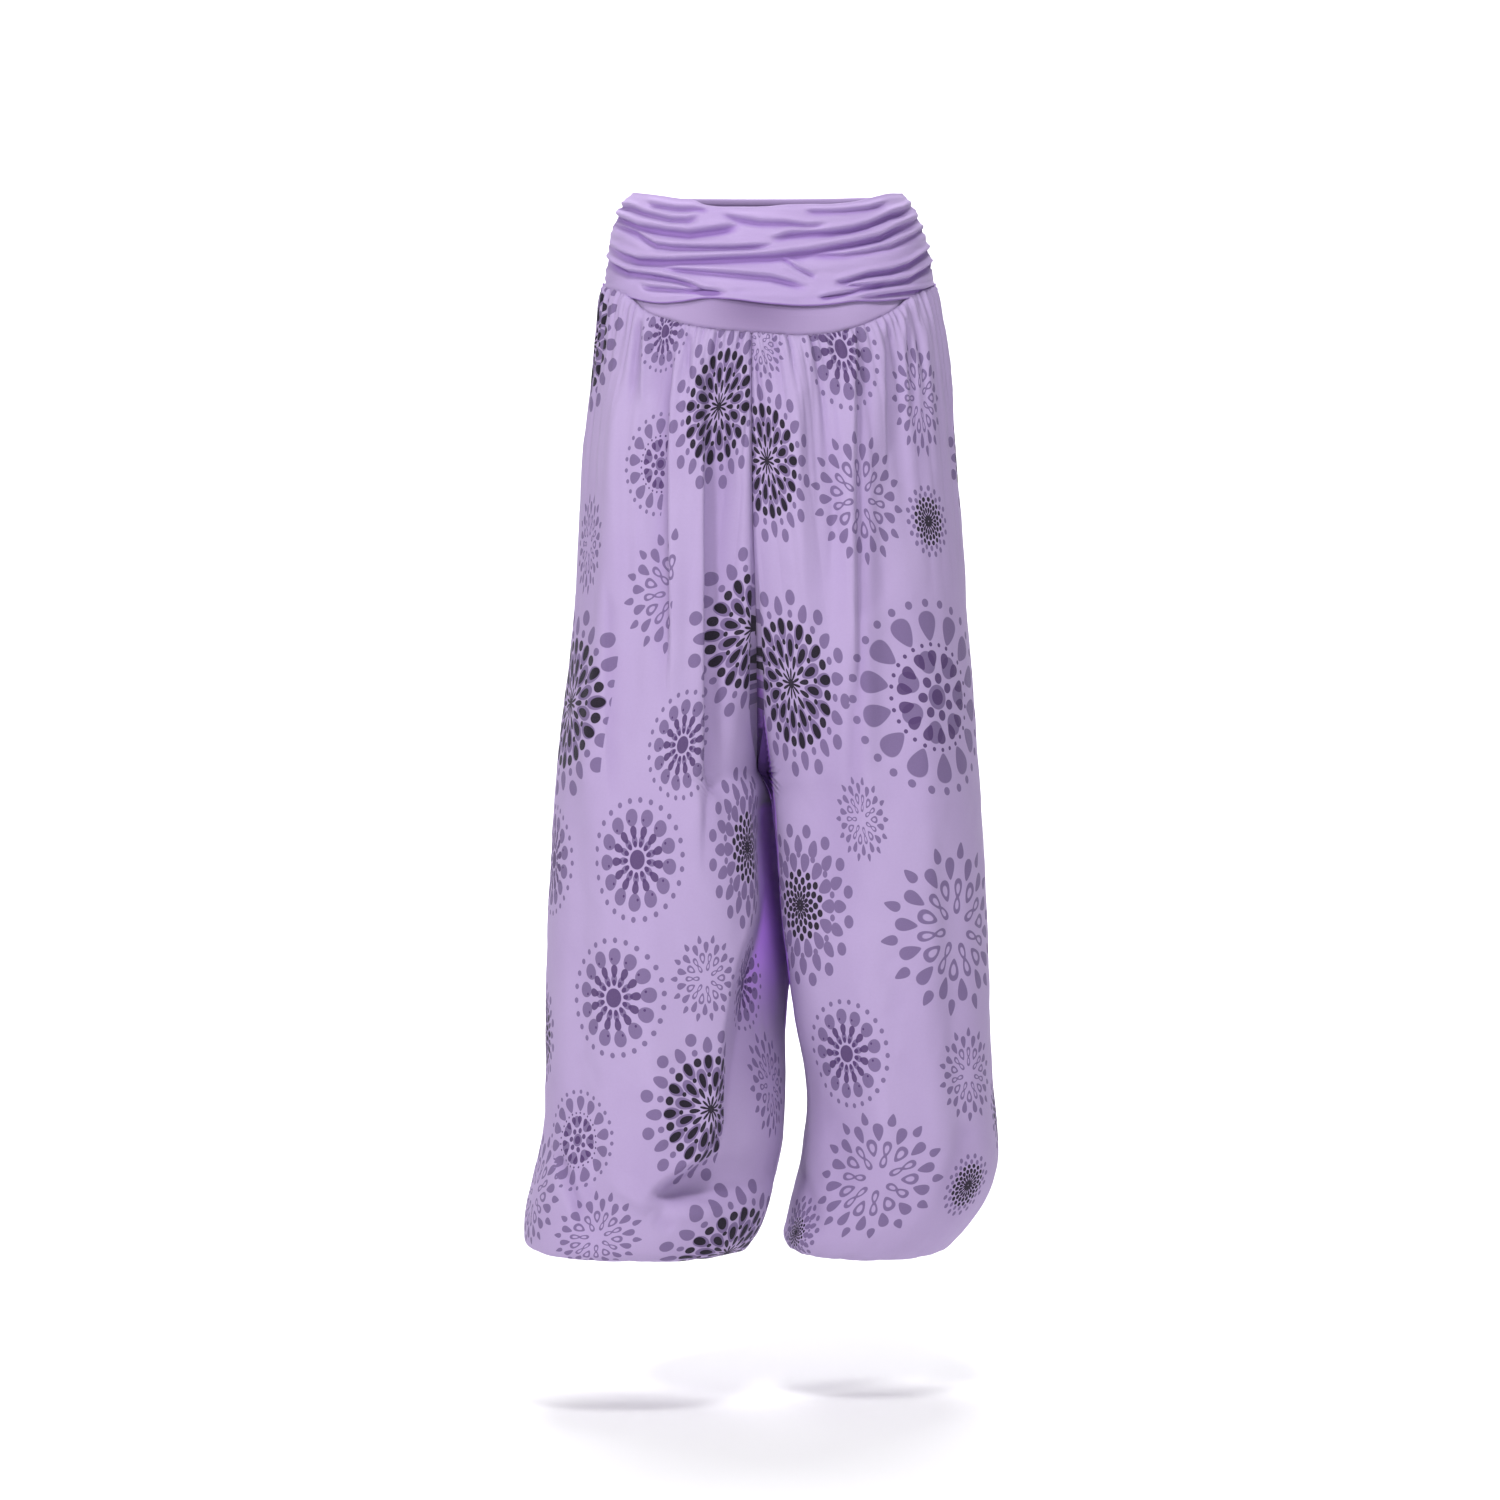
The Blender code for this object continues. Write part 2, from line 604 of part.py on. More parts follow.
def band_wall(name, half, columns, rows, material):
    """A closed wall from side seam to side seam; rows are functions from a place across
    to (down, inset)."""
    made = []
    for row in rows:
        points = [band_point(half, i / columns, *row(i / columns)) for i in range(columns + 1)]
        ring = []
        for i, point in enumerate(points):
            run = points[min(i + 1, columns)] - points[max(i - 1, 0)]
            normal = np.array([-run[1], run[0], 0.0]) * FACING[half]
            normal = flattened(normal, 1, 2) if i in (0, columns) else flattened(normal, 2)
            if i in (0, columns):
                point[1] += FACING[half] * SEAM_GAP / 2.0
            ring.append((point, normal))
        made.append(ring)
    return wall(name, made, JERSEY_WALL, FACING[half], material)


def sash(half, material):
    """The ruched sash, whose rows are its lines of crests and hollows."""
    def line(right, middle, left, relief):
        bend = 2.0 * (right + left) - 4.0 * middle

        def row(across):
            share = right + (left - right) * across - bend * across * (1.0 - across)
            top = SASH_TOP_SIDE + dip(across, SASH_TOP_DIP[half])
            bottom = SASH_BOTTOM_SIDE + dip(across, SASH_BOTTOM_DIP[half])
            depth = SASH_RELIEF * (1.0 - SASH_SIDE_EASE * (1.0 - math.sin(math.pi * across)))
            inset = SASH_INSET - depth * relief if relief else SASH_EDGE_INSET
            return top + (bottom - top) * share, inset

        return row

    lines = SASH_LINES
    if half == "back":
        lines = [(left, middle, right, relief) for right, middle, left, relief in SASH_LINES]
    rows = [line(*fold) for fold in lines]
    return band_wall(f"sash_{half}", half, BAND_COLUMNS[half], rows, material)


def yoke(half, material):
    """The plain yoke under the sash, down to the seam that gathers the legs."""
    def level(share):
        def row(across):
            top = SASH_TOP_SIDE + dip(across, SASH_TOP_DIP[half]) + YOKE_TOP_BELOW_SASH
            bottom = YOKE_SIDE + dip(across, YOKE_DIP[half]) - SEAM_GAP / 2.0
            return top + (bottom - top) * share, YOKE_INSET

        return row

    rows = [level(number / YOKE_ROWS) for number in range(YOKE_ROWS + 1)]
    return band_wall(f"yoke_{half}", half, BAND_COLUMNS[half], rows, material)


def ankle_casing(leg, material):
    """The elastic casing that gathers a leg, hidden inside its blousing."""
    down, outer, inner, front, back = follow(LEGS[leg], ANKLE_ALONG)
    middle = np.array([(outer + inner) / 2.0, (front + back) / 2.0])
    columns = 4 * CASING_WAVES
    radius = CASING_RADIUS - CASING_WALL / 2.0 - LEG_WALL / 2.0 - SEAM_GAP
    points = []
    for share in (0.0, 0.5, 1.0):
        height = -down + CASING_RISE - CASING_HEIGHT * share
        for side in (1.0, -1.0):
            for column in range(columns):
                angle = 2.0 * math.pi * column / columns
                frill = CASING_FRILL * share * math.cos(CASING_WAVES * angle)
                reach = radius + side * CASING_WALL / 2.0 + frill
                x = middle[0] + reach * math.cos(angle)
                y = middle[1] + reach * math.sin(angle)
                points.append((x, y, height))
    faces = []
    loops = [[n * columns + c for c in range(columns)] for n in range(6)]
    order = (loops[0], loops[2], loops[4], loops[5], loops[3], loops[1])
    for upper, lower in zip(order, order[1:] + order[:1]):
        for column in range(columns):
            after = (column + 1) % columns
            faces.append((upper[column], lower[column], lower[after], upper[after]))
    return mesh_object(f"ankle_casing_{leg}", points, faces, material)


def build():
    clear_scene()
    cloths = {name: cloth_material(name) for name in CLOTHS}
    for half in ("front", "back"):
        sash(half, cloths["ruched_jersey"])
        yoke(half, cloths["plain_jersey"])
        for leg in ("right", "left"):
            leg_panel(leg, half, cloths["printed_viscose"])
    for leg in ("right", "left"):
        ankle_casing(leg, cloths["elastic_casing"])


build()
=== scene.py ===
"""Worn harem trousers: a ruched jersey sash over a plain yoke, four gathered legs of printed
viscose that blouse over the ankles, and two elastic casings. Metres, +Z up, front to -Y."""

import math
from functools import cache
from typing import NamedTuple

import bpy
import numpy as np
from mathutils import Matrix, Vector


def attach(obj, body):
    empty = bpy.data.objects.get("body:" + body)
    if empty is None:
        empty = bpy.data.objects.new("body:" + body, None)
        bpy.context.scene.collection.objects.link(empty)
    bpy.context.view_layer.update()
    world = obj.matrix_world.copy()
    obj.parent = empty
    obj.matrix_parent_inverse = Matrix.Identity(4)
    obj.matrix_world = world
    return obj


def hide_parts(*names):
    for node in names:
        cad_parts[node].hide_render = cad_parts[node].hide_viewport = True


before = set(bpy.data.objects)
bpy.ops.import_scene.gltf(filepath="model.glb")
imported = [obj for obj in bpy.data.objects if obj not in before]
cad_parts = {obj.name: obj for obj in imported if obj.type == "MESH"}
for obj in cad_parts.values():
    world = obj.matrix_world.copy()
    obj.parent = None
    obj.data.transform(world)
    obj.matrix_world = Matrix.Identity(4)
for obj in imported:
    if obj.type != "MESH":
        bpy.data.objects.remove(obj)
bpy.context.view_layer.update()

MM = 0.001

# ---------------------------------------------------------------- the cut of the garment

# Lengths down are measured from the waist. Each level of the cloth follows half ovals.
OVAL_POWER = 2.25
CURVE_STEPS = 500
# The crotch, and the height and powers of the curve in which the legs merge above it
CROTCH_DOWN = 0.548
RISE_CURVE = {"front": 0.275, "back": 0.315}
RISE_POWERS = (1.4, 1.5)
# Between these heights the inner side of a leg panel takes up the width of that curve
GATHER_DOWN = 0.24
SETTLED_DOWN = 0.75
# Below the crotch the two inner seams stand this far apart, over these lengths
CROTCH_SPREAD = 0.0003
SPREAD_LENGTH = 0.006
SPREAD_FADE = 0.060
ANKLE_ALONG = 1.100
# A large fold dies away this close to a seam, and over these shares of its length
SEAM_EASE = 0.022
FOLD_TOP_FADE = 0.25
FOLD_BOTTOM_FADE = 0.35
# The back's long edges, at the side seams and how far they dip in the middle
DIP_POWER = 2.2
YOKE_SIDE = 0.0890
YOKE_DIP = 0.030
SASH_TOP_BACK = (-0.007, 0.004)
SASH_BOTTOM_BACK = (0.0860, 0.0080)
# How far the cloth lies inside the hips' outline: the sash, the yoke under the sash, at the
# sash's lower edge and at its seam, where the legs puff out over a short length
SASH_INSET = 0.0030
YOKE_INSET = 0.0150
SASH_CLEARANCE = 0.0088
YOKE_SEAM_INSET = 0.0056
PUFF_LENGTH = 0.005

# The front view that places on the garment are given in: its middle, height and distance
VIEW_X = -0.0173
VIEW_DOWN = 0.15
VIEW_AWAY = 5.5

OUTWARD = {"right": -1.0, "left": 1.0}
FACING = {"front": -1.0, "back": 1.0}

# The hips: down, right side, left side, centre seam, front, back
HIPS = (
    (-0.010, -0.131, 0.130, -0.004, -0.091, 0.093),
    (0.002, -0.141, 0.138, -0.005, -0.096, 0.098),
    (0.020, -0.149, 0.148, -0.008, -0.101, 0.104),
    (0.045, -0.155, 0.156, -0.012, -0.107, 0.111),
    (0.080, -0.159, 0.161, -0.0145, -0.112, 0.119),
    (0.100, -0.161, 0.164, -0.0155, -0.115, 0.123),
    (0.130, -0.164, 0.170, -0.0156, -0.119, 0.128),
    (0.182, -0.170, 0.176, -0.0156, -0.123, 0.136),
    (0.240, -0.177, 0.180, -0.0154, -0.125, 0.141),
    (0.310, -0.181, 0.186, -0.0146, -0.126, 0.141),
    (0.380, -0.185, 0.190, -0.0122, -0.127, 0.134),
    (0.450, -0.1915, 0.1958, -0.0110, -0.128, 0.1275),
    (0.523, -0.2005, 0.2006, -0.0105, -0.129, 0.1245),
    (CROTCH_DOWN, -0.2031, 0.2025, -0.0105, -0.1293, 0.1238),
)

# Each leg: along the cloth, down, outer side, inner side, front, back
LEGS = {
    "right": (
        (CROTCH_DOWN, 0.548, -0.2031, -0.0105, -0.1293, 0.1238),
        (0.560, 0.560, -0.2041, 0.0050, -0.1310, 0.1215),
        (0.590, 0.590, -0.2062, 0.0110, -0.1350, 0.1160),
        (0.614, 0.614, -0.2074, 0.0140, -0.1380, 0.1120),
        (0.672, 0.672, -0.2102, 0.0190, -0.147, 0.100),
        (0.730, 0.730, -0.2122, 0.0235, -0.153, 0.092),
        (0.787, 0.787, -0.2131, 0.0180, -0.158, 0.086),
        (0.845, 0.845, -0.2131, 0.0173, -0.161, 0.081),
        (0.874, 0.874, -0.2140, 0.0163, -0.163, 0.078),
        (0.902, 0.902, -0.2179, 0.0144, -0.165, 0.075),
        (0.931, 0.931, -0.2246, 0.0086, -0.166, 0.072),
        (0.960, 0.960, -0.2314, 0.0010, -0.166, 0.069),
        (0.989, 0.985, -0.2336, -0.0086, -0.164, 0.066),
        (1.003, 0.9945, -0.2328, -0.0145, -0.161, 0.063),
        (1.016, 0.9997, -0.2275, -0.0205, -0.154, 0.056),
        (1.031, 1.0015, -0.2130, -0.0330, -0.140, 0.043),
        (1.050, 0.9980, -0.1930, -0.0520, -0.121, 0.023),
        (1.075, 0.9900, -0.1730, -0.0720, -0.100, 0.001),
        (ANKLE_ALONG, 0.9875, -0.1665, -0.0795, -0.0935, -0.0065),
    ),
    "left": (
        (CROTCH_DOWN, 0.548, 0.2025, -0.0105, -0.1293, 0.1238),
        (0.560, 0.560, 0.2036, -0.0020, -0.1288, 0.1246),
        (0.590, 0.590, 0.2058, 0.0050, -0.1275, 0.1261),
        (0.614, 0.614, 0.2074, 0.0078, -0.1265, 0.1270),
        (0.672, 0.672, 0.2102, 0.0120, -0.122, 0.130),
        (0.730, 0.730, 0.2131, 0.0185, -0.119, 0.131),
        (0.787, 0.787, 0.2146, 0.0260, -0.117, 0.132),
        (0.845, 0.845, 0.2170, 0.0365, -0.115, 0.132),
        (0.874, 0.874, 0.2198, 0.0374, -0.114, 0.131),
        (0.902, 0.902, 0.2227, 0.0346, -0.113, 0.130),
        (0.931, 0.931, 0.2218, 0.0307, -0.111, 0.127),
        (0.960, 0.960, 0.2112, 0.0230, -0.107, 0.122),
        (0.989, 0.985, 0.1948, 0.0182, -0.101, 0.115),
        (1.003, 0.9965, 0.1850, 0.0150, -0.096, 0.109),
        (1.016, 1.0055, 0.1760, 0.0175, -0.090, 0.102),
        (1.031, 1.0105, 0.1670, 0.0270, -0.081, 0.092),
        (1.050, 1.0060, 0.1550, 0.0390, -0.067, 0.078),
        (1.075, 0.9950, 0.1430, 0.0490, -0.046, 0.057),
        (ANKLE_ALONG, 0.9900, 0.1395, 0.0525, -0.0385, 0.0485),
    ),
}

# The right front leg's inner cloth hangs back behind a long fold: along, the fold's edge,
# its depth and the width of its turn
SET_BACK = (
    (CROTCH_DOWN, -0.0105, 0.000, 0.014),
    (0.562, -0.0105, 0.030, 0.014),
    (0.600, -0.0105, 0.058, 0.014),
    (0.680, -0.0105, 0.058, 0.014),
    (0.730, -0.0260, 0.058, 0.014),
    (0.780, -0.0350, 0.048, 0.014),
    (0.840, -0.0430, 0.026, 0.014),
    (0.880, -0.0490, 0.021, 0.016),
    (0.900, -0.0580, 0.024, 0.019),
    (0.912, -0.0720, 0.029, 0.024),
    (0.923, -0.0900, 0.030, 0.028),
    (0.934, -0.1020, 0.026, 0.028),
    (0.945, -0.1080, 0.012, 0.026),
    (0.958, -0.1080, 0.000, 0.024),
)
# It goes no further than this share of the way to the inner seam
SET_BACK_MOST = 0.95

# The left leg's cloth falls in behind a lip beside the seam: along, lip's x, and the share
# of the way back to the seam that it falls
LEFT_LIP = (
    (0.440, -0.0150, 0.00),
    (0.462, -0.0100, 0.60),
    (0.480, -0.0060, 0.95),
    (0.510, -0.0010, 0.95),
    (CROTCH_DOWN, 0.0036, 0.95),
    (0.575, 0.0064, 0.95),
    (0.592, 0.0080, 0.50),
    (0.608, 0.0090, 0.00),
)
LIP_WIDTH = 0.0035

# Below the crotch the inner seams pass each other: along, how far back of the leg's middle
INNER_SHIFT = {
    "right": (
        (CROTCH_DOWN, 0.000), (0.560, 0.026), (0.590, 0.050), (0.620, 0.058), (0.760, 0.058),
        (0.850, 0.030), (0.950, 0.000),
    ),
    "left": (
        (CROTCH_DOWN, 0.000), (0.560, -0.026), (0.590, -0.052), (0.620, -0.060),
        (0.760, -0.058), (0.850, -0.026), (0.950, 0.000),
    ),
}

# Large folds of each panel: place across the width seen from the front (0 at the side),
# lean across for each metre down, top, bottom, height (less than 0 is a trough), the width
# towards the side seam, the width towards the inner seam
FOLDS = {
    ("right", "front"): (
        (0.21, -0.10, 0.12, 0.68, 0.0050, 0.016, 0.020),
        (0.37, -0.06, 0.12, 0.62, -0.0040, 0.018, 0.012),
        (0.56, -0.05, 0.13, 0.58, 0.0055, 0.010, 0.022),
        (0.80, -0.05, 0.16, 0.64, -0.0080, 0.010, 0.020),
        (0.12, 0.10, 0.52, 0.98, -0.0050, 0.022, 0.022),
        (0.20, 0.90, 0.88, 1.01, -0.0080, 0.014, 0.020),
        (0.42, 0.05, 0.62, 0.94, 0.0060, 0.026, 0.026),
    ),
    ("left", "front"): (
        (0.79, -0.04, 0.12, 0.52, 0.0060, 0.012, 0.018),
        (0.64, -0.02, 0.13, 0.44, -0.0040, 0.012, 0.014),
        (0.41, 0.30, 0.12, 0.66, 0.0060, 0.013, 0.026),
        (0.32, 0.30, 0.13, 0.62, -0.0036, 0.024, 0.016),
        (0.26, 0.02, 0.11, 0.32, -0.0035, 0.010, 0.010),
        (0.20, -0.05, 0.56, 1.00, -0.0060, 0.024, 0.020),
        (0.62, -0.08, 0.66, 0.98, 0.0055, 0.024, 0.024),
    ),
    ("right", "back"): (
        (0.16, 0.05, 0.13, 0.62, 0.0050, 0.018, 0.018),
        (0.38, 0.04, 0.14, 0.76, -0.0060, 0.018, 0.014),
        (0.66, 0.03, 0.13, 0.54, 0.0055, 0.014, 0.018),
        (0.30, 0.06, 0.60, 0.98, 0.0065, 0.024, 0.024),
        (0.68, -0.05, 0.62, 1.00, -0.0060, 0.022, 0.022),
    ),
    ("left", "back"): (
        (0.14, 0.06, 0.14, 0.66, -0.0050, 0.018, 0.018),
        (0.34, 0.03, 0.13, 0.60, 0.0060, 0.016, 0.020),
        (0.62, 0.04, 0.14, 0.66, -0.0060, 0.014, 0.018),
        (0.26, -0.04, 0.62, 1.00, 0.0060, 0.024, 0.024),
        (0.64, -0.06, 0.58, 0.96, 0.0060, 0.024, 0.020),
    ),
}

# ------------------------------------------------------------------ creases in the cloth

# Creases of the legs: height in mm (less than 0 is a trough), half width in mm on the
# crease's left and on its right, then points along it as (x, down) in mm
LEG_CREASES = {
    ("right", "front"): (
        (-6.0, 12, 2.5, ((-92, 124), (-96, 180), (-99, 250), (-99, 330), (-98, 430), (-99, 500))),
        (4.6, 2.5, 13, ((-86, 124), (-90, 180), (-93, 250), (-93, 330), (-92, 430), (-93, 500))),
        (3.2, 9, 7, ((-148, 150), (-147, 260), (-146, 400))),
        (4.6, 12, 2.5, ((-65, 126), (-64, 250), (-64, 400), (-65, 560), (-67, 660))),
        (-6.5, 2.5, 18, ((-59, 126), (-58, 250), (-58, 400), (-59, 560), (-62, 660))),
        (-3.4, 2, 6, ((-124, 110), (-127, 130), (-131, 172), (-133, 200))),
        (2.6, 3, 3, ((-118, 112), (-119, 160), (-120, 210))),
        (-2.6, 2, 3, ((-76, 124), (-77, 150), (-76, 180))),
        (-2.6, 3, 5, ((-79, 120), (-80, 150), (-84, 185))),
        (-2.6, 4, 10, ((-110, 115), (-107, 155), (-112, 200))),
        (2.2, 6, 5, ((-126, 180), (-128, 300), (-122, 420))),
        (-6.0, 3.5, 10, ((-208, 915), (-199, 940), (-187, 970), (-177, 992))),
        (-2.6, 5, 7, ((-190, 912), (-180, 945), (-167, 972))),
        (6.0, 8, 9, ((-156, 944), (-124, 966), (-92, 975), (-58, 974), (-30, 962))),
        (2.6, 16, 18, ((-140, 620), (-120, 760), (-112, 880))),
        (-3.2, 3, 10, ((-155, 360), (-154, 460), (-152, 540), (-150, 600))),
        (6.0, 20, 16, ((-108, 840), (-100, 890), (-90, 920))),
        (-2.6, 10, 8, ((-108, 978), (-98, 985), (-90, 992))),
    ),
    ("left", "front"): (
        (3.4, 6, 7, ((28, 128), (30, 180), (30, 260))),
        (-2.6, 4, 8, ((44, 132), (46, 200), (50, 330))),
        (-2.0, 3, 4, ((12, 130), (14, 170), (20, 230))),
        (4.8, 13, 3, ((83, 118), (81, 200), (81, 300), (82, 420), (84, 500))),
        (-5.2, 2.5, 15, ((88, 118), (87, 200), (87, 300), (88, 420), (90, 500))),
        (3.0, 3, 4, ((128, 102), (130, 150), (134, 210))),
        (-2.4, 2, 5, ((134, 102), (135, 150), (139, 220))),
        (2.6, 4, 6, ((150, 96), (152, 160), (156, 240))),
        (-2.0, 4, 7, ((62, 125), (64, 260), (60, 380))),
        (2.4, 8, 3, ((110, 105), (110, 180), (112, 260))),
        (-2.6, 3, 9, ((115, 105), (115, 180), (117, 280))),
        (1.8, 12, 16, ((150, 420), (158, 640), (165, 800))),
        (-2.4, 12, 14, ((60, 860), (72, 930), (74, 1000))),
        (2.4, 14, 12, ((100, 820), (112, 900), (120, 985))),
        (-2.8, 10, 16, ((196, 880), (180, 940), (166, 985))),
        (-3.5, 22, 24, ((44, 440), (56, 540), (66, 640), (70, 720))),
        (-3.0, 7, 8, ((28, 930), (40, 965), (48, 1000))),
        (-4.6, 7, 12, ((88, 420), (83, 520), (80, 610))),
    ),
    ("right", "back"): (
        (3.0, 10, 5, ((-70, 125), (-68, 300), (-72, 470))),
        (-4.0, 4, 12, ((-63, 125), (-61, 300), (-65, 480))),
        (-2.4, 5, 8, ((-118, 120), (-120, 230), (-124, 380))),
        (2.2, 7, 5, ((-140, 110), (-144, 220), (-150, 340))),
        (-4.5, 10, 12, ((-190, 900), (-170, 950), (-150, 990))),
        (4.0, 12, 12, ((-150, 900), (-110, 945), (-60, 960))),
        (-6.0, 14, 16, ((-140, 870), (-100, 915), (-50, 925))),
        (-3.0, 12, 14, ((-60, 700), (-70, 820), (-66, 900))),
    ),
    ("left", "back"): (
        (2.8, 5, 10, ((58, 125), (56, 290), (60, 430))),
        (-3.8, 12, 4, ((50, 125), (48, 300), (52, 450))),
        (2.4, 6, 6, ((112, 120), (118, 240), (124, 400))),
        (-2.4, 8, 5, ((100, 120), (106, 240), (112, 380))),
        (-4.5, 12, 10, ((190, 890), (168, 945), (150, 985))),
        (4.0, 12, 12, ((158, 880), (120, 930), (70, 955))),
        (-6.0, 14, 14, ((148, 850), (110, 900), (62, 915))),
        (-3.0, 14, 12, ((62, 680), (72, 800), (70, 890))),
    ),
}

# Gathers at the yoke: wave length and depth in mm, how far down they reach in mm
YOKE_GATHERS = (
    (4.6, 0.8, 13),
    (7.2, 1.6, 32),
    (11.5, 2.0, 70),
    (21.0, 1.9, 160),
)
# Gathers at the ankle: wave length and depth in mm, how far up they reach in mm
ANKLE_GATHERS = (
    (9.0, 0.9, 25),
    (17.0, 1.1, 45),
    (38.0, 1.2, 70),
)
# How far gathers sway and drift, how broad their crests are (less than 1 is broader), their
# mean height and its unevenness, and how sharply they end
GATHER_SWAY = 1.6
GATHER_DRIFT = 0.7
GATHER_CREST = 0.8
GATHER_HEIGHT = 0.75
GATHER_UNEVEN = 0.45
GATHER_END = 1.4
# A crease comes in over a share of its length and goes out over another, each with a start
CREASE_IN = (0.22, 0.12)
CREASE_OUT = (0.35, 0.08)
SMALL_FOLDS = 16
# Slight waves of hanging cloth: length and height
FLOW_WRINKLES = ((0.060, 0.0008), (0.033, 0.0004))

# Long edges of the front, as (x, down) in mm in the front view, after the rough height at
# which the hips' outline is taken to place them: the seam that gathers the legs into the
# yoke, then the sash's two edges
YOKE_SEAM_FRONT = (0.11, (
    (-168, 81.0), (-156, 84.5), (-148, 86.0), (-138, 92.5), (-123, 104.5), (-97, 114.0),
    (-63, 122.0), (-14, 126.0), (32, 129.0), (58, 127.0), (84, 121.5), (104, 114.0), (130, 101.0),
    (142, 92.0), (154, 86.5), (162, 83.5), (170, 81.0),
))
SASH_TOP_FRONT = (0.0, (
    (-134, -7.8), (-110, -5.2), (-88, -1.8), (-70, 0.8), (-62, 4.4), (-50, 6.6), (-28, 7.2),
    (2, 6.8), (16, 5.4), (39, 4.7), (62, 4.5), (85, 1.6), (109, -4.1), (123, -6.8), (134, -6.8),
))
SASH_BOTTOM_FRONT = (0.09, (
    (-164, 86.4), (-150, 88.2), (-136, 92.0), (-121, 95.4), (-105, 97.0), (-83, 95.4),
    (-61, 92.2), (-39, 92.9), (0, 97.3), (39, 99.5), (62, 98.2), (85, 95.2), (109, 95.2),
    (132, 93.4), (152, 90.8), (166, 89.4),
))

# Creases of the sash: depth in mm, half width above and below in mm, then points of the
# hollow as (x, down) in mm, from the right side to the left
SASH_CREASES = {
    "front": (
        (2.6, 2.0, 4.0, ((-150, 6), (-134, 7), (-121, 12.5), (-94, 19), (-77, 19), (-66, 15))),
        (2.4, 1.8, 3.4, ((-118, 3), (-102, 6), (-85, 8.5), (-70, 8), (-58, 9))),
        (5.2, 2.4, 5.0, (
            (-156, 11), (-147, 17), (-127, 25), (-99, 29.5), (-77, 32), (-50, 28.5), (-28, 25),
        )),
        (3.0, 2.0, 4.2, ((-44, 15), (-33, 17), (-8, 21.5), (16, 22), (37, 24.5), (58, 24))),
        (3.6, 2.0, 4.6, (
            (-156, 20), (-149, 24), (-130, 31), (-109, 43), (-93, 45), (-60, 46), (-38, 46),
            (4, 44),
        )),
        (5.6, 2.4, 5.6, (
            (-157, 42), (-151, 48), (-142, 53), (-127, 58), (-100, 58.5), (-72, 57.5), (2, 54),
            (39, 49.5), (62, 45), (85, 41), (109, 35.5), (126, 27), (143, 20), (152, 14),
        )),
        (3.6, 2.0, 4.4, ((-103, 66.5), (-77, 68), (-39, 70.5), (2, 74), (16, 77.5), (36, 83))),
        (4.4, 2.0, 4.6, (
            (-160, 56), (-151, 63), (-138, 69), (-116, 72), (-94, 75.5), (-77, 80), (-61, 86.5),
            (-42, 89),
        )),
        (3.2, 1.8, 3.4, ((-124, 82), (-118, 83.5), (-83, 86.5), (-66, 87.2), (-48, 88))),
        (4.4, 2.2, 4.6, (
            (4, 37), (21, 33), (39, 32), (62, 31), (80, 28.5), (97, 24), (109, 19), (120, 14),
            (130, 11.5), (142, 5),
        )),
        (2.2, 1.8, 3.6, ((36, 11), (46, 11), (74, 10.5), (97, 8), (116, 3))),
        (2.8, 2.0, 4.8, ((44, 55), (52, 53.5), (74, 53), (97, 49.5), (120, 44), (144, 33), (156, 24))),
        (2.2, 1.6, 3.0, ((14, 56), (18, 57.5), (27, 64.5), (46, 73))),
        (4.2, 2.0, 4.2, ((66, 79), (76, 77.5), (97, 71.5), (120, 68), (138, 62), (155, 50.5), (162, 42))),
        (3.8, 1.8, 3.6, ((74, 84), (83, 82), (120, 79.7), (138, 76), (155, 65.7), (165, 56))),
        (3.4, 1.8, 3.2, ((50, 93.5), (58, 92.5), (74, 89.6), (103, 83.2), (114, 80.5))),
        (3.0, 1.6, 3.0, ((88, 93.5), (97, 92.5), (120, 90), (155, 86), (166, 82))),
    ),
    "back": (
        (2.4, 2.2, 4.0, ((-152, 2), (-120, 6), (-70, 12), (-30, 14))),
        (3.4, 2.4, 5.0, ((-158, 12), (-120, 20), (-60, 27), (0, 26), (40, 22))),
        (2.4, 2.2, 4.2, ((-10, 12), (40, 12), (90, 8), (140, 0))),
        (3.8, 2.4, 5.2, ((-120, 40), (-60, 42), (0, 41), (70, 33), (120, 24), (157, 10))),
        (3.0, 2.2, 4.6, ((-160, 34), (-130, 46), (-80, 58), (-20, 62), (20, 60))),
        (3.6, 2.4, 5.2, ((-50, 56), (10, 54), (70, 47), (120, 40), (158, 28))),
        (2.8, 2.2, 4.4, ((-160, 58), (-120, 70), (-60, 77), (10, 78), (50, 74))),
        (3.0, 2.2, 4.2, ((20, 68), (80, 63), (130, 56), (160, 46))),
        (2.6, 2.0, 3.8, ((-158, 76), (-110, 84), (-50, 88), (0, 88))),
        (2.8, 2.0, 3.8, ((-10, 84), (60, 82), (120, 76), (161, 66))),
        (1.8, 1.8, 3.0, ((-40, 33), (-10, 34), (25, 32))),
    ),
}

# ------------------------------------------------------------------------------ the print

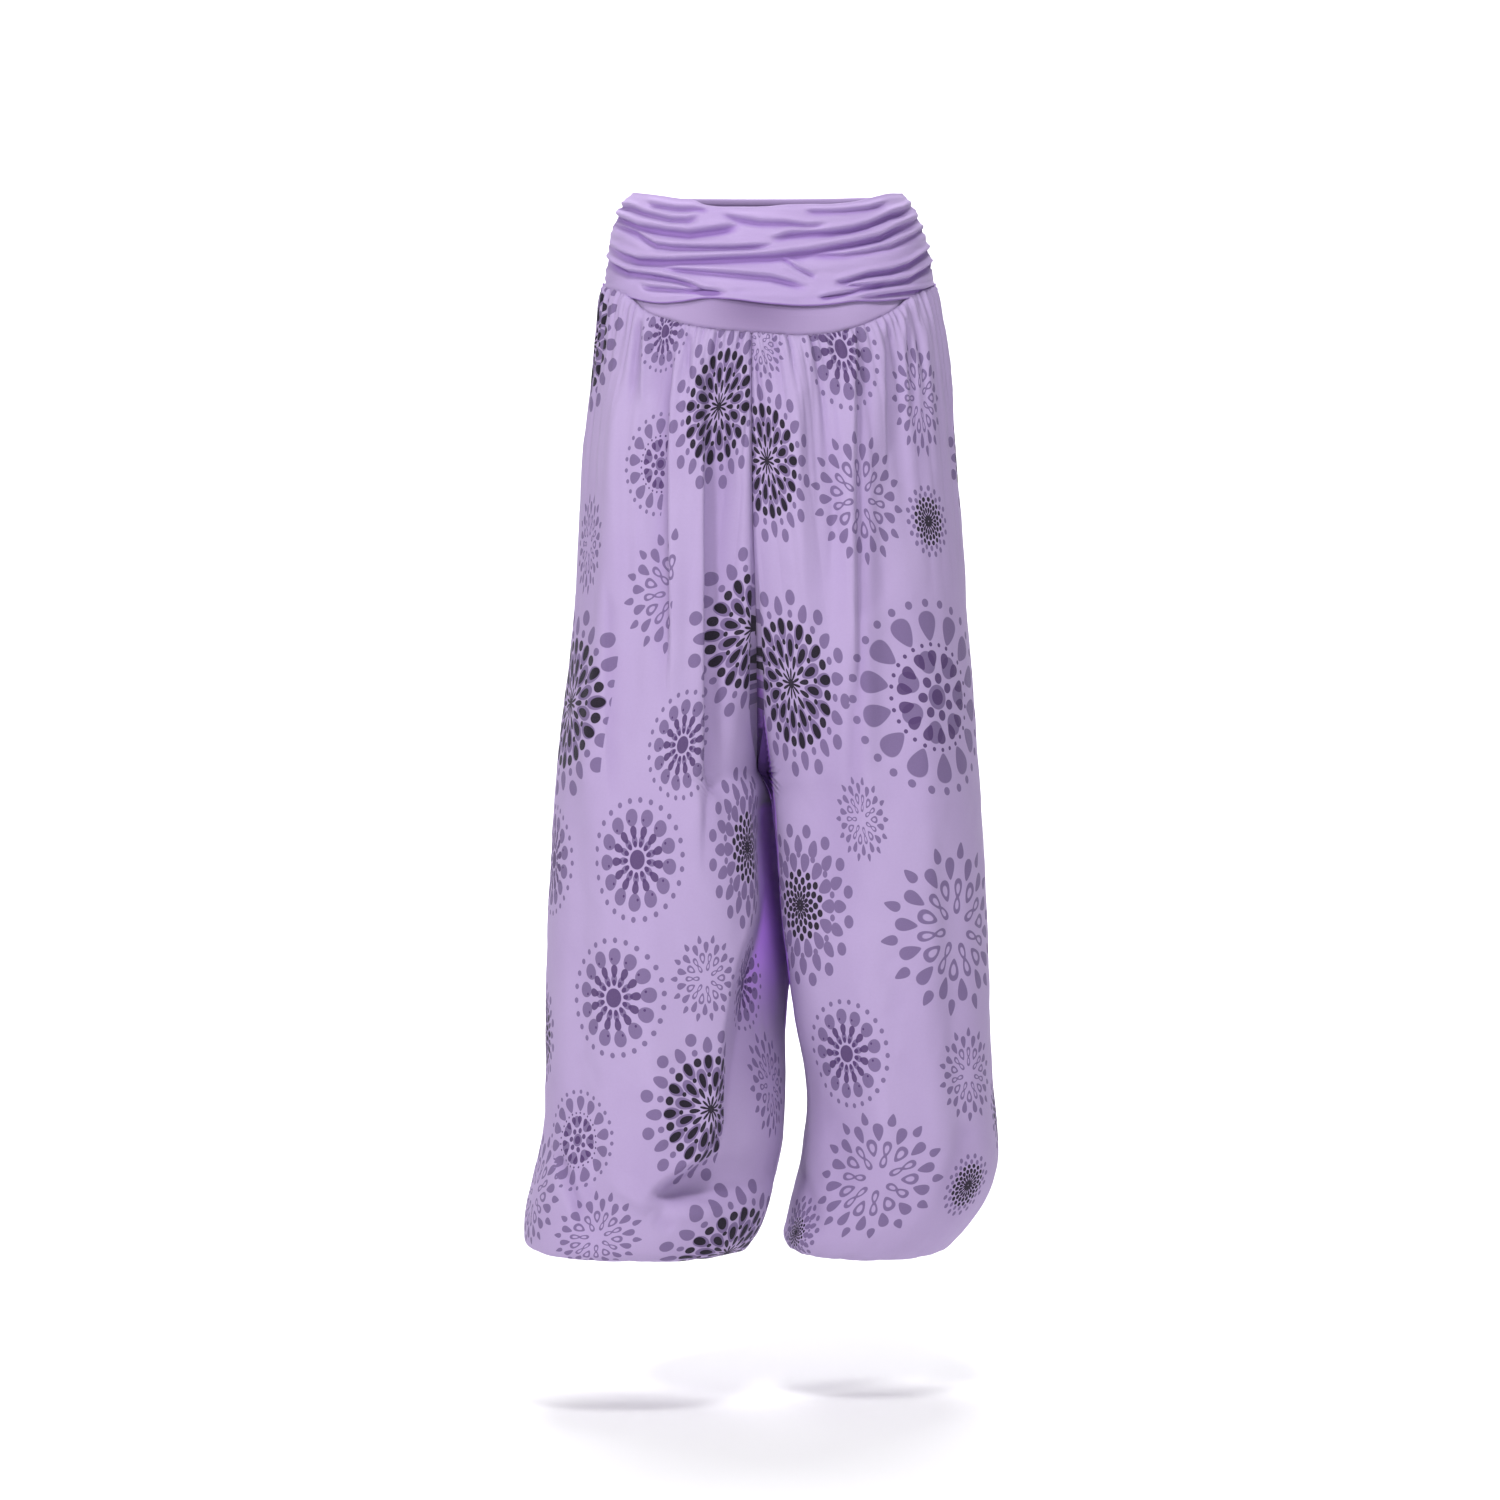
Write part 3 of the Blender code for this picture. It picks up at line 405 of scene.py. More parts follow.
# Rings of each printed figure, as shares of its half width: ink, how many, turn as a share
# of one step, radius, half length, half width, taper (more than 0 is fat at the outer end).
# One alone is a disc of that half length, and line is an outline in grey.
FIGURES = {
    "starburst": (
        ("black", 1, 0.0, 0.000, 0.050, 0.050, 0.0),
        ("black", 12, 0.0, 0.090, 0.075, 0.015, 0.3),
        ("grey", 12, 0.0, 0.380, 0.150, 0.070, 0.3),
        ("grey", 12, 0.5, 0.560, 0.120, 0.074, 0.2),
        ("black", 12, 0.5, 0.235, 0.078, 0.028, 0.3),
        ("black", 12, 0.0, 0.375, 0.095, 0.044, 0.2),
        ("black", 12, 0.5, 0.430, 0.030, 0.030, 0.0),
        ("black", 12, 0.5, 0.590, 0.086, 0.054, 0.1),
        ("black", 12, 0.0, 0.610, 0.056, 0.056, 0.0),
        ("grey", 12, 0.0, 0.735, 0.042, 0.042, 0.0),
        ("grey", 12, 0.5, 0.800, 0.100, 0.068, -0.25),
        ("grey", 12, 0.0, 0.905, 0.080, 0.080, 0.0),
    ),
    "seed_head": (
        ("black", 14, 0.0, 0.055, 0.050, 0.014, 0.2),
        ("black", 14, 0.5, 0.135, 0.042, 0.026, 0.0),
        ("black", 14, 0.0, 0.215, 0.046, 0.034, 0.0),
        ("black", 14, 0.5, 0.298, 0.048, 0.042, 0.0),
        ("black", 14, 0.0, 0.385, 0.048, 0.046, 0.0),
        ("grey", 14, 0.5, 0.520, 0.115, 0.080, 0.3),
        ("grey", 14, 0.0, 0.610, 0.042, 0.042, 0.0),
        ("grey", 16, 0.5, 0.730, 0.110, 0.076, -0.25),
        ("grey", 16, 0.0, 0.900, 0.082, 0.078, 0.0),
    ),
    "wheel": (
        ("grey", 1, 0.0, 0.000, 0.125, 0.125, 0.0),
        ("deep", 1, 0.0, 0.000, 0.080, 0.080, 0.0),
        ("deep", 7, 0.0, 0.190, 0.055, 0.050, 0.0),
        ("grey", 7, 0.5, 0.360, 0.115, 0.105, 0.0),
        ("deep", 14, 0.0, 0.390, 0.082, 0.055, 0.4),
        ("deep", 28, 0.5, 0.530, 0.022, 0.022, 0.0),
        ("grey", 14, 0.0, 0.715, 0.150, 0.104, 0.45),
        ("grey", 28, 0.5, 0.945, 0.042, 0.042, 0.0),
    ),
    "dandelion": (
        ("line", 7, 0.0, 0.275, 0.100, 0.046, -0.3),
        ("line", 7, 0.0, 0.455, 0.112, 0.052, 0.4),
        ("line", 7, 0.5, 0.460, 0.120, 0.072, 0.4),
        ("grey", 14, 0.0, 0.690, 0.128, 0.068, 0.45),
        ("grey", 14, 0.5, 0.885, 0.094, 0.054, -0.45),
    ),
    "spoked_daisy": (
        ("deep", 1, 0.0, 0.000, 0.155, 0.155, 0.0),
        ("grey", 13, 0.0, 0.300, 0.090, 0.058, 0.0),
        ("deep", 13, 0.0, 0.245, 0.052, 0.040, 0.0),
        ("deep", 13, 0.0, 0.430, 0.105, 0.064, 0.3),
        ("grey", 13, 0.0, 0.665, 0.140, 0.124, 0.1),
        ("deep", 13, 0.2, 0.625, 0.022, 0.022, 0.0),
        ("grey", 26, 0.5, 0.930, 0.046, 0.046, 0.0),
    ),
    "seed_dot": (
        ("black", 14, 0.0, 0.115, 0.100, 0.028, 0.4),
        ("black", 18, 0.5, 0.280, 0.080, 0.042, 0.3),
        ("black", 18, 0.0, 0.430, 0.075, 0.060, 0.2),
        ("black", 18, 0.5, 0.580, 0.064, 0.066, 0.0),
        ("grey", 18, 0.0, 0.710, 0.072, 0.064, 0.0),
        ("grey", 18, 0.5, 0.880, 0.078, 0.070, 0.0),
    ),
}

# A figure takes the cloth within this many half widths of its middle, where another isn't
# nearer
WHOLE = 1.1
# Below this the print is drawn together with the cloth, and it shows down to the hem's edge
DRAWN_BELOW = 0.93
SHOWN_ALONG = 1.004
# Cloth with more painted shade than this is left plain, down to a little below the crotch
BARE_SHADE = 0.6
BARE_BELOW = 0.04
OFF_PRINT = 9.0


class Printed(NamedTuple):
    """A figure on a panel. Its middle is given as it is seen on the worn garment, its half
    width is taken along the cloth, and all lengths are in mm. Its turn is in degrees. A fold
    cuts it off at cut, in half widths to the +X side of its middle."""
    kind: str
    x: float
    down: float
    half_width: float
    half_height: float
    turn: float = 0.0
    cut: float = WHOLE


PRINTS = {
    ("right", "front"): (
        ("starburst", -165, 139, 84, 82),
        ("spoked_daisy", -99, 126, 24, 40, 10),
        ("starburst", -47, 198, 43, 81),
        ("wheel", -103, 253, 36, 50, 8, 0.12),
        ("dandelion", -172, 330, 32, 50),
        ("dandelion", -95, 375, 50, 60, 12, 0.08),
        ("starburst", -14, 411, 68, 85, 6),
        ("starburst", -190, 483, 100, 92, 4, 0.72),
        ("spoked_daisy", -82, 523, 33, 54),
        ("spoked_daisy", -126, 634, 46, 60, 5),
        ("seed_head", -20, 622, 50, 78),
        ("spoked_daisy", -206, 634, 46, 54),
        ("spoked_daisy", -149, 768, 52, 58, -8),
        ("dandelion", -60, 749, 34, 42),
        ("starburst", -214, 800, 42, 50),
        ("spoked_daisy", -25, 754, 36, 46, 20),
        ("starburst", -55, 876, 68, 76, 3, 0.40),
        ("dandelion", 2, 852, 40, 52),
        ("wheel", -184, 906, 44, 48),
        ("dandelion", -166, 1001, 46, 48),
        ("dandelion", -226, 958, 52, 58),
        ("starburst", -36, 1020, 84, 82),
    ),
    ("left", "front"): (
        ("starburst", -1, 250, 41, 80),
        ("dandelion", -8, 138, 22, 34),
        ("spoked_daisy", 70, 143, 37, 60, 6),
        ("dandelion", 145, 190, 30, 58),
        ("starburst", 203, 247, 62, 66),
        ("dandelion", 88, 286, 47, 64, 14),
        ("seed_dot", 154, 308, 28, 36),
        ("starburst", 22, 464, 56, 92, 4),
        ("wheel", 163, 477, 92, 94),
        ("dandelion", 90, 595, 26, 42),
        ("seed_head", 31, 678, 56, 80),
        ("dandelion", 181, 701, 86, 85, 6),
        ("spoked_daisy", 76, 822, 43, 54),
        ("dandelion", 194, 842, 44, 46, 10),
        ("dandelion", 106, 944, 66, 66),
        ("seed_dot", 194, 950, 30, 32),
        ("starburst", 226, 880, 36, 44),
        ("seed_head", 27, 996, 36, 42),
    ),
    ("right", "back"): (
        ("dandelion", -128, 168, 38, 58),
        ("starburst", -54, 190, 40, 68),
        ("seed_dot", -152, 268, 30, 36),
        ("spoked_daisy", -92, 300, 40, 52, 6),
        ("wheel", -30, 372, 66, 76),
        ("starburst", -140, 420, 62, 74, 5),
        ("dandelion", -72, 520, 54, 60),
        ("seed_head", -176, 560, 54, 62),
        ("spoked_daisy", -120, 640, 44, 50, 12),
        ("starburst", -38, 660, 58, 64),
        ("wheel", -166, 760, 62, 64),
        ("dandelion", -84, 790, 46, 50),
        ("spoked_daisy", -20, 820, 44, 48),
        ("starburst", -120, 900, 56, 60, 8),
        ("dandelion", -200, 900, 42, 46),
        ("seed_dot", -50, 910, 30, 32),
        ("dandelion", -70, 1004, 48, 52),
        ("spoked_daisy", -170, 1004, 46, 48),
        ("dandelion", -186, 170, 44, 54),
        ("spoked_daisy", -196, 350, 50, 54),
        ("starburst", -206, 680, 60, 62),
    ),
    ("left", "back"): (
        ("starburst", 140, 176, 46, 64),
        ("spoked_daisy", 74, 160, 34, 48),
        ("dandelion", 20, 240, 40, 56),
        ("wheel", 108, 290, 56, 68, 4),
        ("seed_head", 168, 330, 46, 58),
        ("spoked_daisy", 46, 400, 42, 52, 8),
        ("dandelion", 120, 450, 58, 62),
        ("starburst", 30, 540, 60, 66),
        ("spoked_daisy", 180, 520, 44, 48),
        ("starburst", 128, 610, 60, 66, 6),
        ("seed_dot", 62, 640, 30, 32),
        ("wheel", 60, 750, 58, 60),
        ("dandelion", 150, 760, 62, 64, 10),
        ("spoked_daisy", 200, 860, 42, 46),
        ("starburst", 100, 880, 52, 56),
        ("dandelion", 44, 950, 44, 48),
        ("wheel", 160, 970, 46, 48),
        ("dandelion", 196, 420, 58, 60),
        ("starburst", 186, 236, 52, 60),
        ("spoked_daisy", 206, 655, 52, 54),
        ("dandelion", 212, 770, 60, 62),
    ),
}

# ------------------------------------------------------------------- grids and thickness

# Columns and rows of each leg panel, which stand closer near its edges
LEG_GRID = {"front": (216, 224), "back": (150, 170)}
EVEN_SHARE = 0.6
CROWD_ENDS = 0.075
CROWD_YOKE = 0.012
LEVEL_STEP = 0.004
LEG_CLOTH = 0.0009
# Each panel's seed for its uneven folds and gathers
SEEDS = {("right", "front"): 100, ("right", "back"): 150, ("left", "front"): 200, ("left", "back"): 250}

# Levels of the hips' outline that the sash and the yoke are taken from
BAND_FIRST = -0.010
BAND_STEP = 0.002
BAND_LEVELS = 80
JERSEY_CLOTH = 0.0012
SASH_COLUMNS = 230
SASH_ROWS = 130
YOKE_COLUMNS = 120
YOKE_ROWS = 22

# The ankle casings: a tube in channels, puffed between the stitches and shirred round
CASING_COLUMNS = 200
CASING_ROWS = 12
CASING_RADIUS = 0.0400
CASING_HEIGHT = 0.022
CASING_RISE = 0.002
CASING_WAVES = 42
CASING_CHANNELS = 3
CASING_PUFF = 0.0014
CASING_SHIRR = 0.0005

# ----------------------------------------------------------------- seams and their painted shade

# A leg's relief dies away this close to its seams, and its top row keeps this share
SEAM_FLAT = 0.008
TOP_ROW_SHARE = 0.3
# Depth and half width of the groove at the side seam
SIDE_GROOVE = (0.0012, 0.0026)
# The groove at the centre seam, and at the inner seam, which starts below the crotch
GROOVE_WIDTH = 0.0050
CENTRE_GROOVE_DEPTH = 0.0030
INNER_GROOVE_DEPTH = 0.0012
INNER_GROOVE_START = 0.03
INNER_GROOVE_RUN = 0.05
# The front's valley at the centre seam: its top, the lengths over which it comes in and
# ends at the crotch, its depth, and its half width in mm
VALLEY_TOP = 0.16
VALLEY_TOP_FADE = 0.12
VALLEY_BOTTOM_FADE = 0.06
VALLEY_DEPTH = 0.0045
VALLEY_WIDTH = {"right": 32.0, "left": 20.0}
# The narrow slot in that valley, which ends just below the crotch
SLOT_DEPTH = 0.0042
SLOT_WIDTH = 0.0016
SLOT_END = 0.01
SLOT_FADE = 0.04

# Painted shade is 0 on open cloth, at most 0.5 in a crease and at most 1.5 behind a fold. That
# of a crease is its depth over SHADED_DEPTH, which is less beside the yoke's gathers.
CREASE_SHADE = 0.5
DEEPEST_SHADE = 1.5
SHADED_DEPTH = 0.010
GATHERS_LESS = 0.004
GATHERS_LENGTH = 0.08
VALLEY_SHADE = 0.15
SLOT_SHADE = 0.35
LIP_SHADE = 1.6
# Behind the right leg's long fold, cloth set back this far has all the painted shade. Lower down
# it is lost in two steps, each with its start, length and loss
SET_BACK_SHADED = 0.03
SET_BACK_FADES = ((0.66, 0.14, 0.55), (0.80, 0.08, 0.40))
# Painted shade on the inner side of the other panels: reach from the inner seam, strength, and
# where it starts to be lost. It comes over one length below the crotch, and is lost over another.
INNER_SHADE = {"front": (0.040, 0.7, 0.70), "back": (0.075, 1.0, 0.76)}
INNER_SHADE_RISE = 0.02
INNER_SHADE_RUN = 0.14
INNER_SHADE_LOSS = 0.85
# Painted shade right beside the left front's inner seam: reach, then where it starts and over
# what length it comes, and where it ends and over what length it goes
BESIDE_SEAM_SHADE = (0.016, 0.50, 0.04, 0.70, 0.08)

# ----------------------------------------------------------- the sash's and yoke's relief

# Every fold of the sash is this many times as deep as its row says
FOLD_DEPTH = 1.45
# Beside each hollow of the sash lie a crest above it and a slow swell below it: height as a
# share of the hollow's depth, then place and half width in widths of the hollow
SASH_CREST = (0.45, 2.1, 1.6)
SASH_SWELL = (0.14, 2.3, 1.3)
# A fold fades over this share of its length, and runs on past its ends by this share
SASH_FOLD_FADE = 0.18
SASH_FOLD_PAST = 0.14
# Puckers beside the side seams: height, spacing, how far from the seam they reach, and the
# share of the sash's height over which they fade at its long edges
SASH_PUCKERS = (0.0004, 0.0082, 0.016, 0.06)
# Height of the sash's slight unevenness
SASH_UNEVEN = 0.0006
# Relief past this is pressed flat, apart from the share that is kept
SASH_MOST = 0.0042
SASH_KEPT = 0.25
# A hollow of the sash this deep gets all of its painted shade
SASH_SHADED_DEPTH = 0.0052
# Relief is held down at the long edges and at the side seams: the share that is left, and
# how far from them it is whole again
SASH_EDGE_HOLD = (0.35, 0.006)
SASH_SIDE_HOLD = (0.25, 0.003)
# Depth and half width of the grooves along the long edges and the side seams
SASH_EDGE_GROOVE = (0.0010, 0.0030)
SASH_SIDE_GROOVE = (0.0008, 0.0022)
# The sash's lower corners stand out: how far, and their reach from the seam and the edge
SASH_EAR = (0.0050, 0.005, 0.004)
# The long edges roll in round this radius, at these angles, and end in a flat tail. In the
# flat cloth their rows lie HEM_ROW apart.
HEM_TURN = 0.0016
HEM_ANGLES = (40, 90, 140, 180)
HEM_TAIL = 0.006
HEM_ROW = 0.0015

# How far the yoke starts below the sash's top, and laps the legs' gathered edge
YOKE_UNDER = 0.0045
YOKE_LAP = 0.0012
YOKE_INSET_RUN = 0.012
# Gathers just above the seam, and slow waves: height, spacing and fade
YOKE_PUCKERS = (0.0004, 0.004, 0.012)
YOKE_WAVES = (0.0006, 0.03, 0.004)
YOKE_SEAM_FLAT = 0.001
# Shadow of the sash painted in the middle of the yoke's crescent: strength, half width across, reach down
YOKE_PAINTED_SHADOW = (1.2, 0.11, 0.060)


# ------------------------------------------------------------------------ the worn shape

def ease(share):
    """0 to 1 with level ends."""
    share = np.clip(share, 0.0, 1.0)
    return share * share * (3.0 - 2.0 * share)


def bell(gap, width):
    """1 on a line, and smoothly less with the distance from it."""
    return np.exp(-((gap / width) ** 2))


def follow(table, place):
    """A table's other columns at a place along its first one, on smooth curves."""
    rows = np.array(table, dtype=float)
    knots, values = rows[:, 0], rows[:, 1:]
    place = min(max(place, knots[0]), knots[-1])
    after = min(max(int(np.searchsorted(knots, place)), 1), len(knots) - 1)
    slopes = np.gradient(values, knots, axis=0)
    width = knots[after] - knots[after - 1]
    share = (place - knots[after - 1]) / width
    start, end = values[after - 1], values[after]
    leave, arrive = slopes[after - 1] * width, slopes[after] * width
    return (
        start * (2 * share**3 - 3 * share**2 + 1)
        + leave * (share**3 - 2 * share**2 + share)
        + end * (3 * share**2 - 2 * share**3)
        + arrive * (share**3 - share**2)
    )


def oval(middle_x, middle_y, reach_x, reach_y, angles):
    """Points of half an oval; reach_x and reach_y carry their signs."""
    across = np.cos(angles)
    away = np.abs(np.sin(angles)) ** (2.0 / OVAL_POWER)
    x = middle_x + reach_x * np.sign(across) * np.abs(across) ** (2.0 / OVAL_POWER)
    return np.column_stack((x, middle_y + reach_y * away))


def as_seen(points, half):
    """Where points stand in the front view, as x and down; the back is given as it is."""
    near = VIEW_AWAY / (VIEW_AWAY + points[..., 1]) if half == "front" else 1.0
    return (
        VIEW_X + (points[..., 0] - VIEW_X) * near,
        VIEW_DOWN + (-points[..., 2] - VIEW_DOWN) * near,
    )


def lengths_along(curve):
    """The distance along a curve to each of its points."""
    steps = np.linalg.norm(np.diff(curve, axis=0), axis=1)
    return np.concatenate(([0.0], np.cumsum(steps)))


def places_on(curve, places):
    """Points at distances along a curve, and the curve's normals to the left."""
    lengths = lengths_along(curve)
    points = np.column_stack([np.interp(places, lengths, curve[:, axis]) for axis in (0, 1)])
    middles = (lengths[1:] + lengths[:-1]) / 2.0
    runs = np.diff(curve, axis=0) / np.diff(lengths)[:, None]
    runs = np.column_stack([np.interp(places, middles, runs[:, axis]) for axis in (0, 1)])
    runs /= np.linalg.norm(runs, axis=1)[:, None]
    return points, np.column_stack((-runs[:, 1], runs[:, 0]))


def rise_share(climb):
    """How far the two legs have merged, at a share of the way up the crotch curve."""
    climb = min(climb, 1.0)
    return 1.0 - (1.0 - climb ** RISE_POWERS[0]) ** RISE_POWERS[1]


def leg_curve(leg, half, along):
    """One level of a leg panel, from the side seam to the inner seam, seen from above."""
    outward, facing = OUTWARD[leg], FACING[half]
    if along < CROTCH_DOWN:
        right, left, seam, front, back = follow(HIPS, along)
        outer = right if leg == "right" else left
        share = rise_share((CROTCH_DOWN - along) / RISE_CURVE[half])
        reach = abs(seam - outer) / (2.0 - share)
        last = math.acos(-((1.0 - share) ** (OVAL_POWER / 2.0)))
    else:
        _, outer, inner, front, back = follow(LEGS[leg], along)
        below = along - CROTCH_DOWN
        spread = math.exp(-below / SPREAD_FADE) - math.exp(-below / SPREAD_LENGTH)
        inner += outward * CROTCH_SPREAD * spread
        reach = abs(outer - inner) / 2.0
        last = math.pi
    middle_y = (front + back) / 2.0
    depth = facing * (back - front) / 2.0
    angles = np.linspace(0.0, last, CURVE_STEPS)
    curve = oval(outer - outward * reach, middle_y, outward * reach, depth, angles)
    if along > CROTCH_DOWN:
        shift = follow(INNER_SHIFT[leg], along)[0]
        inward = ease((curve[:, 0] - outer) / (inner - outer) * 2.0 - 1.0)
        away = np.abs(np.sin(angles)) ** (2.0 / OVAL_POWER)
        curve[:, 1] += shift * inward * (1.0 - away)
        if (leg, half) == ("right", "front"):
            edge, back_by, turn_width = follow(SET_BACK, along)
            set_back = ease((curve[:, 0] - edge) / turn_width + 0.5)
            room = middle_y + shift - curve[:, 1]
            curve[:, 1] += np.minimum(back_by * set_back, SET_BACK_MOST * room)
    return curve


def fold_relief(table, curve, places, along):
    """How far a panel's large folds move its points along their normals."""
    lengths = lengths_along(curve)
    shares = (curve[:, 0] - curve[0, 0]) / (curve[-1, 0] - curve[0, 0])
    relief = np.zeros_like(places)
    for across, lean, top, bottom, height, side_width, inner_width in table:
        if not top < along < bottom:
            continue
        gaps = places - np.interp(across + lean * (along - top), shares, lengths)
        widths = np.where(gaps < 0.0, side_width, inner_width)
        share = (along - top) / (bottom - top)
        fade = ease(share / FOLD_TOP_FADE) * ease((1.0 - share) / FOLD_BOTTOM_FADE)
        relief += height * fade * bell(gaps, widths)
    edges = ease(places / SEAM_EASE) * ease((lengths[-1] - places) / SEAM_EASE)
    return relief * edges


def leg_level(leg, half, along, across, settled):
    """x, y, z and the distance from the side seam, for each column at one level."""
    curve = leg_curve(leg, half, along)
    width = lengths_along(curve)[-1]
    places = across * width
    if GATHER_DOWN < along < SETTLED_DOWN:
        share = (along - GATHER_DOWN) / (SETTLED_DOWN - GATHER_DOWN)
        steady = settled[0] + (settled[1] - settled[0]) * ease(share)
        places = across * steady + across**2 * (width - steady)
    points, normals = places_on(curve, places)
    normals *= -OUTWARD[leg] * FACING[half]
    points += normals * fold_relief(FOLDS[leg, half], curve, places, along)[:, None]
    down = follow(LEGS[leg], along)[0] if along > CROTCH_DOWN else along
    return np.column_stack((points, np.full(len(across), -down), places))


def sample_levels(levels, first, step, along):
    """Values between levels, for each row and column of along."""
    place = np.clip((along - first) / step, 0.0, len(levels) - 1.001)
    lower = place.astype(int)
    part = (place - lower)[..., None]
    columns = np.arange(along.shape[1])[None, :]
    return levels[lower, columns] * (1.0 - part) + levels[lower + 1, columns] * part


def crowded_rows(count):
    """Shares of the way down a panel, closer together near the yoke and the ankle."""
    rows = np.linspace(0.0, 1.0, count + 1)
    to_ends = CROWD_ENDS * np.sin(2.0 * math.pi * rows) * (1.0 - rows)
    return np.clip(rows - to_ends - CROWD_YOKE * np.sin(math.pi * rows), 0.0, 1.0)


def leg_grid(leg, half):
    """A leg panel with its large folds alone: points, distances from the side seam, distances
    along from the waist, and those below the yoke's seam."""
    columns, row_count = LEG_GRID[half]
    even = np.linspace(0.0, 1.0, columns + 1)
    across = EVEN_SHARE * even + (1.0 - EVEN_SHARE) / 2.0 * (1.0 - np.cos(math.pi * even))
    first = YOKE_SIDE - 4 * LEVEL_STEP
    count = int((ANKLE_ALONG - first) / LEVEL_STEP) + 2
    settled = [
        lengths_along(leg_curve(leg, half, along))[-1] for along in (GATHER_DOWN, SETTLED_DOWN)
    ]
    levels = np.array([
        leg_level(leg, half, min(first + n * LEVEL_STEP, ANKLE_ALONG), across, settled)
        for n in range(count)
    ])
    on_band = across / 2.0 if leg == "right" else 1.0 - across / 2.0
    top = yoke_seam(half, on_band)
    along = top[None, :] + (ANKLE_ALONG - top)[None, :] * crowded_rows(row_count)[:, None]
    values = sample_levels(levels, first, LEVEL_STEP, along)
    return values[..., :3], values[..., 3], along, along - top[None, :]


# --------------------------------------------------------------------- relief in the cloth

def surface_normals(points, turn):
    """Outward normals of a grid of points; turn is 1 or -1."""
    run = np.gradient(points, axis=1)
    fall = np.gradient(points, axis=0)
    normals = turn * np.cross(run, fall)
    return normals / np.linalg.norm(normals, axis=2)[..., None]


def flattened(normals, axis):
    """Normals with one axis taken out."""
    kept = normals.copy()
    kept[..., axis] = 0.0
    return kept / np.linalg.norm(kept, axis=-1)[..., None]


def leg_normals(points, turn, along):
    """A leg panel's normals, which keep its edges in the planes of its seams."""
    normals = surface_normals(points, turn)
    normals[:, 0] = flattened(normals[:, 0], 1)
    above = along[:, -1] < CROTCH_DOWN
    normals[above, -1] = flattened(normals[above, -1], 0)
    normals[~above, -1] = flattened(normals[~above, -1], 1)
    normals[0] = flattened(normals[0], 2)
    return normals


def wander(x, seed):
    """A smooth uneven line between about -1 and 1; x is in radians."""
    draws = np.random.default_rng(seed).uniform(0.0, 2.0 * math.pi, 4)
    waves = enumerate(zip((1.0, 1.73, 2.61, 4.17), draws))
    return sum(np.sin(x * rate + turn) / (1 + n) for n, (rate, turn) in waves) / 1.6


def gather_relief(places, away, waves, seed):
    """Gathers that start at a seam and fade away from it, uneven as drawn thread leaves them."""
    relief = np.zeros_like(places)
    for number, (length, depth, reach) in enumerate(waves):
        length, depth, reach = length * MM, depth * MM, reach * MM
        turn = 2.0 * math.pi / length
        sway = GATHER_SWAY * wander(places / length / 1.7, seed + number)
        drift = GATHER_DRIFT * wander(places / 0.03, seed + 20 + number) * away / reach
        ridge = np.abs(np.sin((places * turn + sway + drift) / 2.0)) ** GATHER_CREST
        tall = GATHER_HEIGHT + GATHER_UNEVEN * wander(places / length / 2.3, seed + 40 + number)
        fade = np.exp(-((away / reach) ** GATHER_END)) * ease((away + 0.0015) / (0.30 * length))
        relief += depth * tall * (2.0 * ridge - 1.3) * fade
    return relief


def nearest_on(line, x, down):
    """Each point's distance from a line, the share of the line's length that it is nearest
    to, and its side of the line: less than 0 is the left of a line that runs down."""
    steps = np.linalg.norm(np.diff(line, axis=0), axis=1)
    best = np.full(x.shape, 1e9)
    best_share = np.zeros_like(x)
    best_side = np.zeros_like(x)
    start = 0.0
    for (ax, az), (bx, bz), step in zip(line, line[1:], steps):
        along = ((x - ax) * (bx - ax) + (down - az) * (bz - az)) / step**2
        along = np.clip(along, 0.0, 1.0)
        gap_x, gap_z = x - (ax + along * (bx - ax)), down - (az + along * (bz - az))
        gap = np.hypot(gap_x, gap_z)
        side = gap_x * (bz - az) - gap_z * (bx - ax)
        nearer = gap < best
        best = np.where(nearer, gap, best)
        best_share = np.where(nearer, (start + along * step) / steps.sum(), best_share)
        best_side = np.where(nearer, side, best_side)
        start += step
    return best, best_share, best_side


def crease_relief(creases, x, down):
    """Creases as soft troughs and ridges along given lines, in metres."""
    relief = np.zeros_like(x)
    for height, left_width, right_width, line in creases:
        gap, share, side = nearest_on(np.array(line, dtype=float) * MM, x, down)
        widths = np.where(side < 0.0, left_width, right_width) * MM
        coming = ease(share / CREASE_IN[0] + CREASE_IN[1])
        fade = coming * ease((1.0 - share) / CREASE_OUT[0] + CREASE_OUT[1])
        relief += height * MM * fade * bell(gap, widths)
    return relief


def small_fold_relief(places, width, below, seed):
    """Narrow folds that run down out of the gathers."""
    draw = np.random.default_rng(seed)
    relief = np.zeros_like(places)
    for _ in range(SMALL_FOLDS):
        middle = draw.uniform(0.04, 0.96) * width
        lean = draw.normal(0.0, 0.03)
        sway = draw.uniform(0.001, 0.003)
        rate = draw.uniform(10.0, 24.0)
        half_width = draw.uniform(0.0035, 0.0080)
        height = draw.uniform(0.6, 1.8) * MM * draw.choice((-1.0, 1.0))
        reach = draw.uniform(0.10, 0.36)
        line = middle + lean * below + sway * np.sin(rate * below)
        fade = ease(below / 0.02) * ease((reach - below) / (0.6 * reach))
        relief += height * fade * bell(places - line, half_width)
    return relief


def flow_relief(places, along, seed):
    """Slight unevenness of hanging cloth, longer down than across."""
    relief = np.zeros_like(places)
    for number, (length, height) in enumerate(FLOW_WRINKLES):
        turn = 2.0 * math.pi / length
        sway = 1.5 * wander(along * turn * 0.35, seed + number)
        relief += height * wander(places * turn * 0.6 + sway, seed + 7 + number) * (
            0.6 + 0.4 * wander(along * turn * 0.3 + places * 4.0, seed + 13 + number)
        )
    return relief


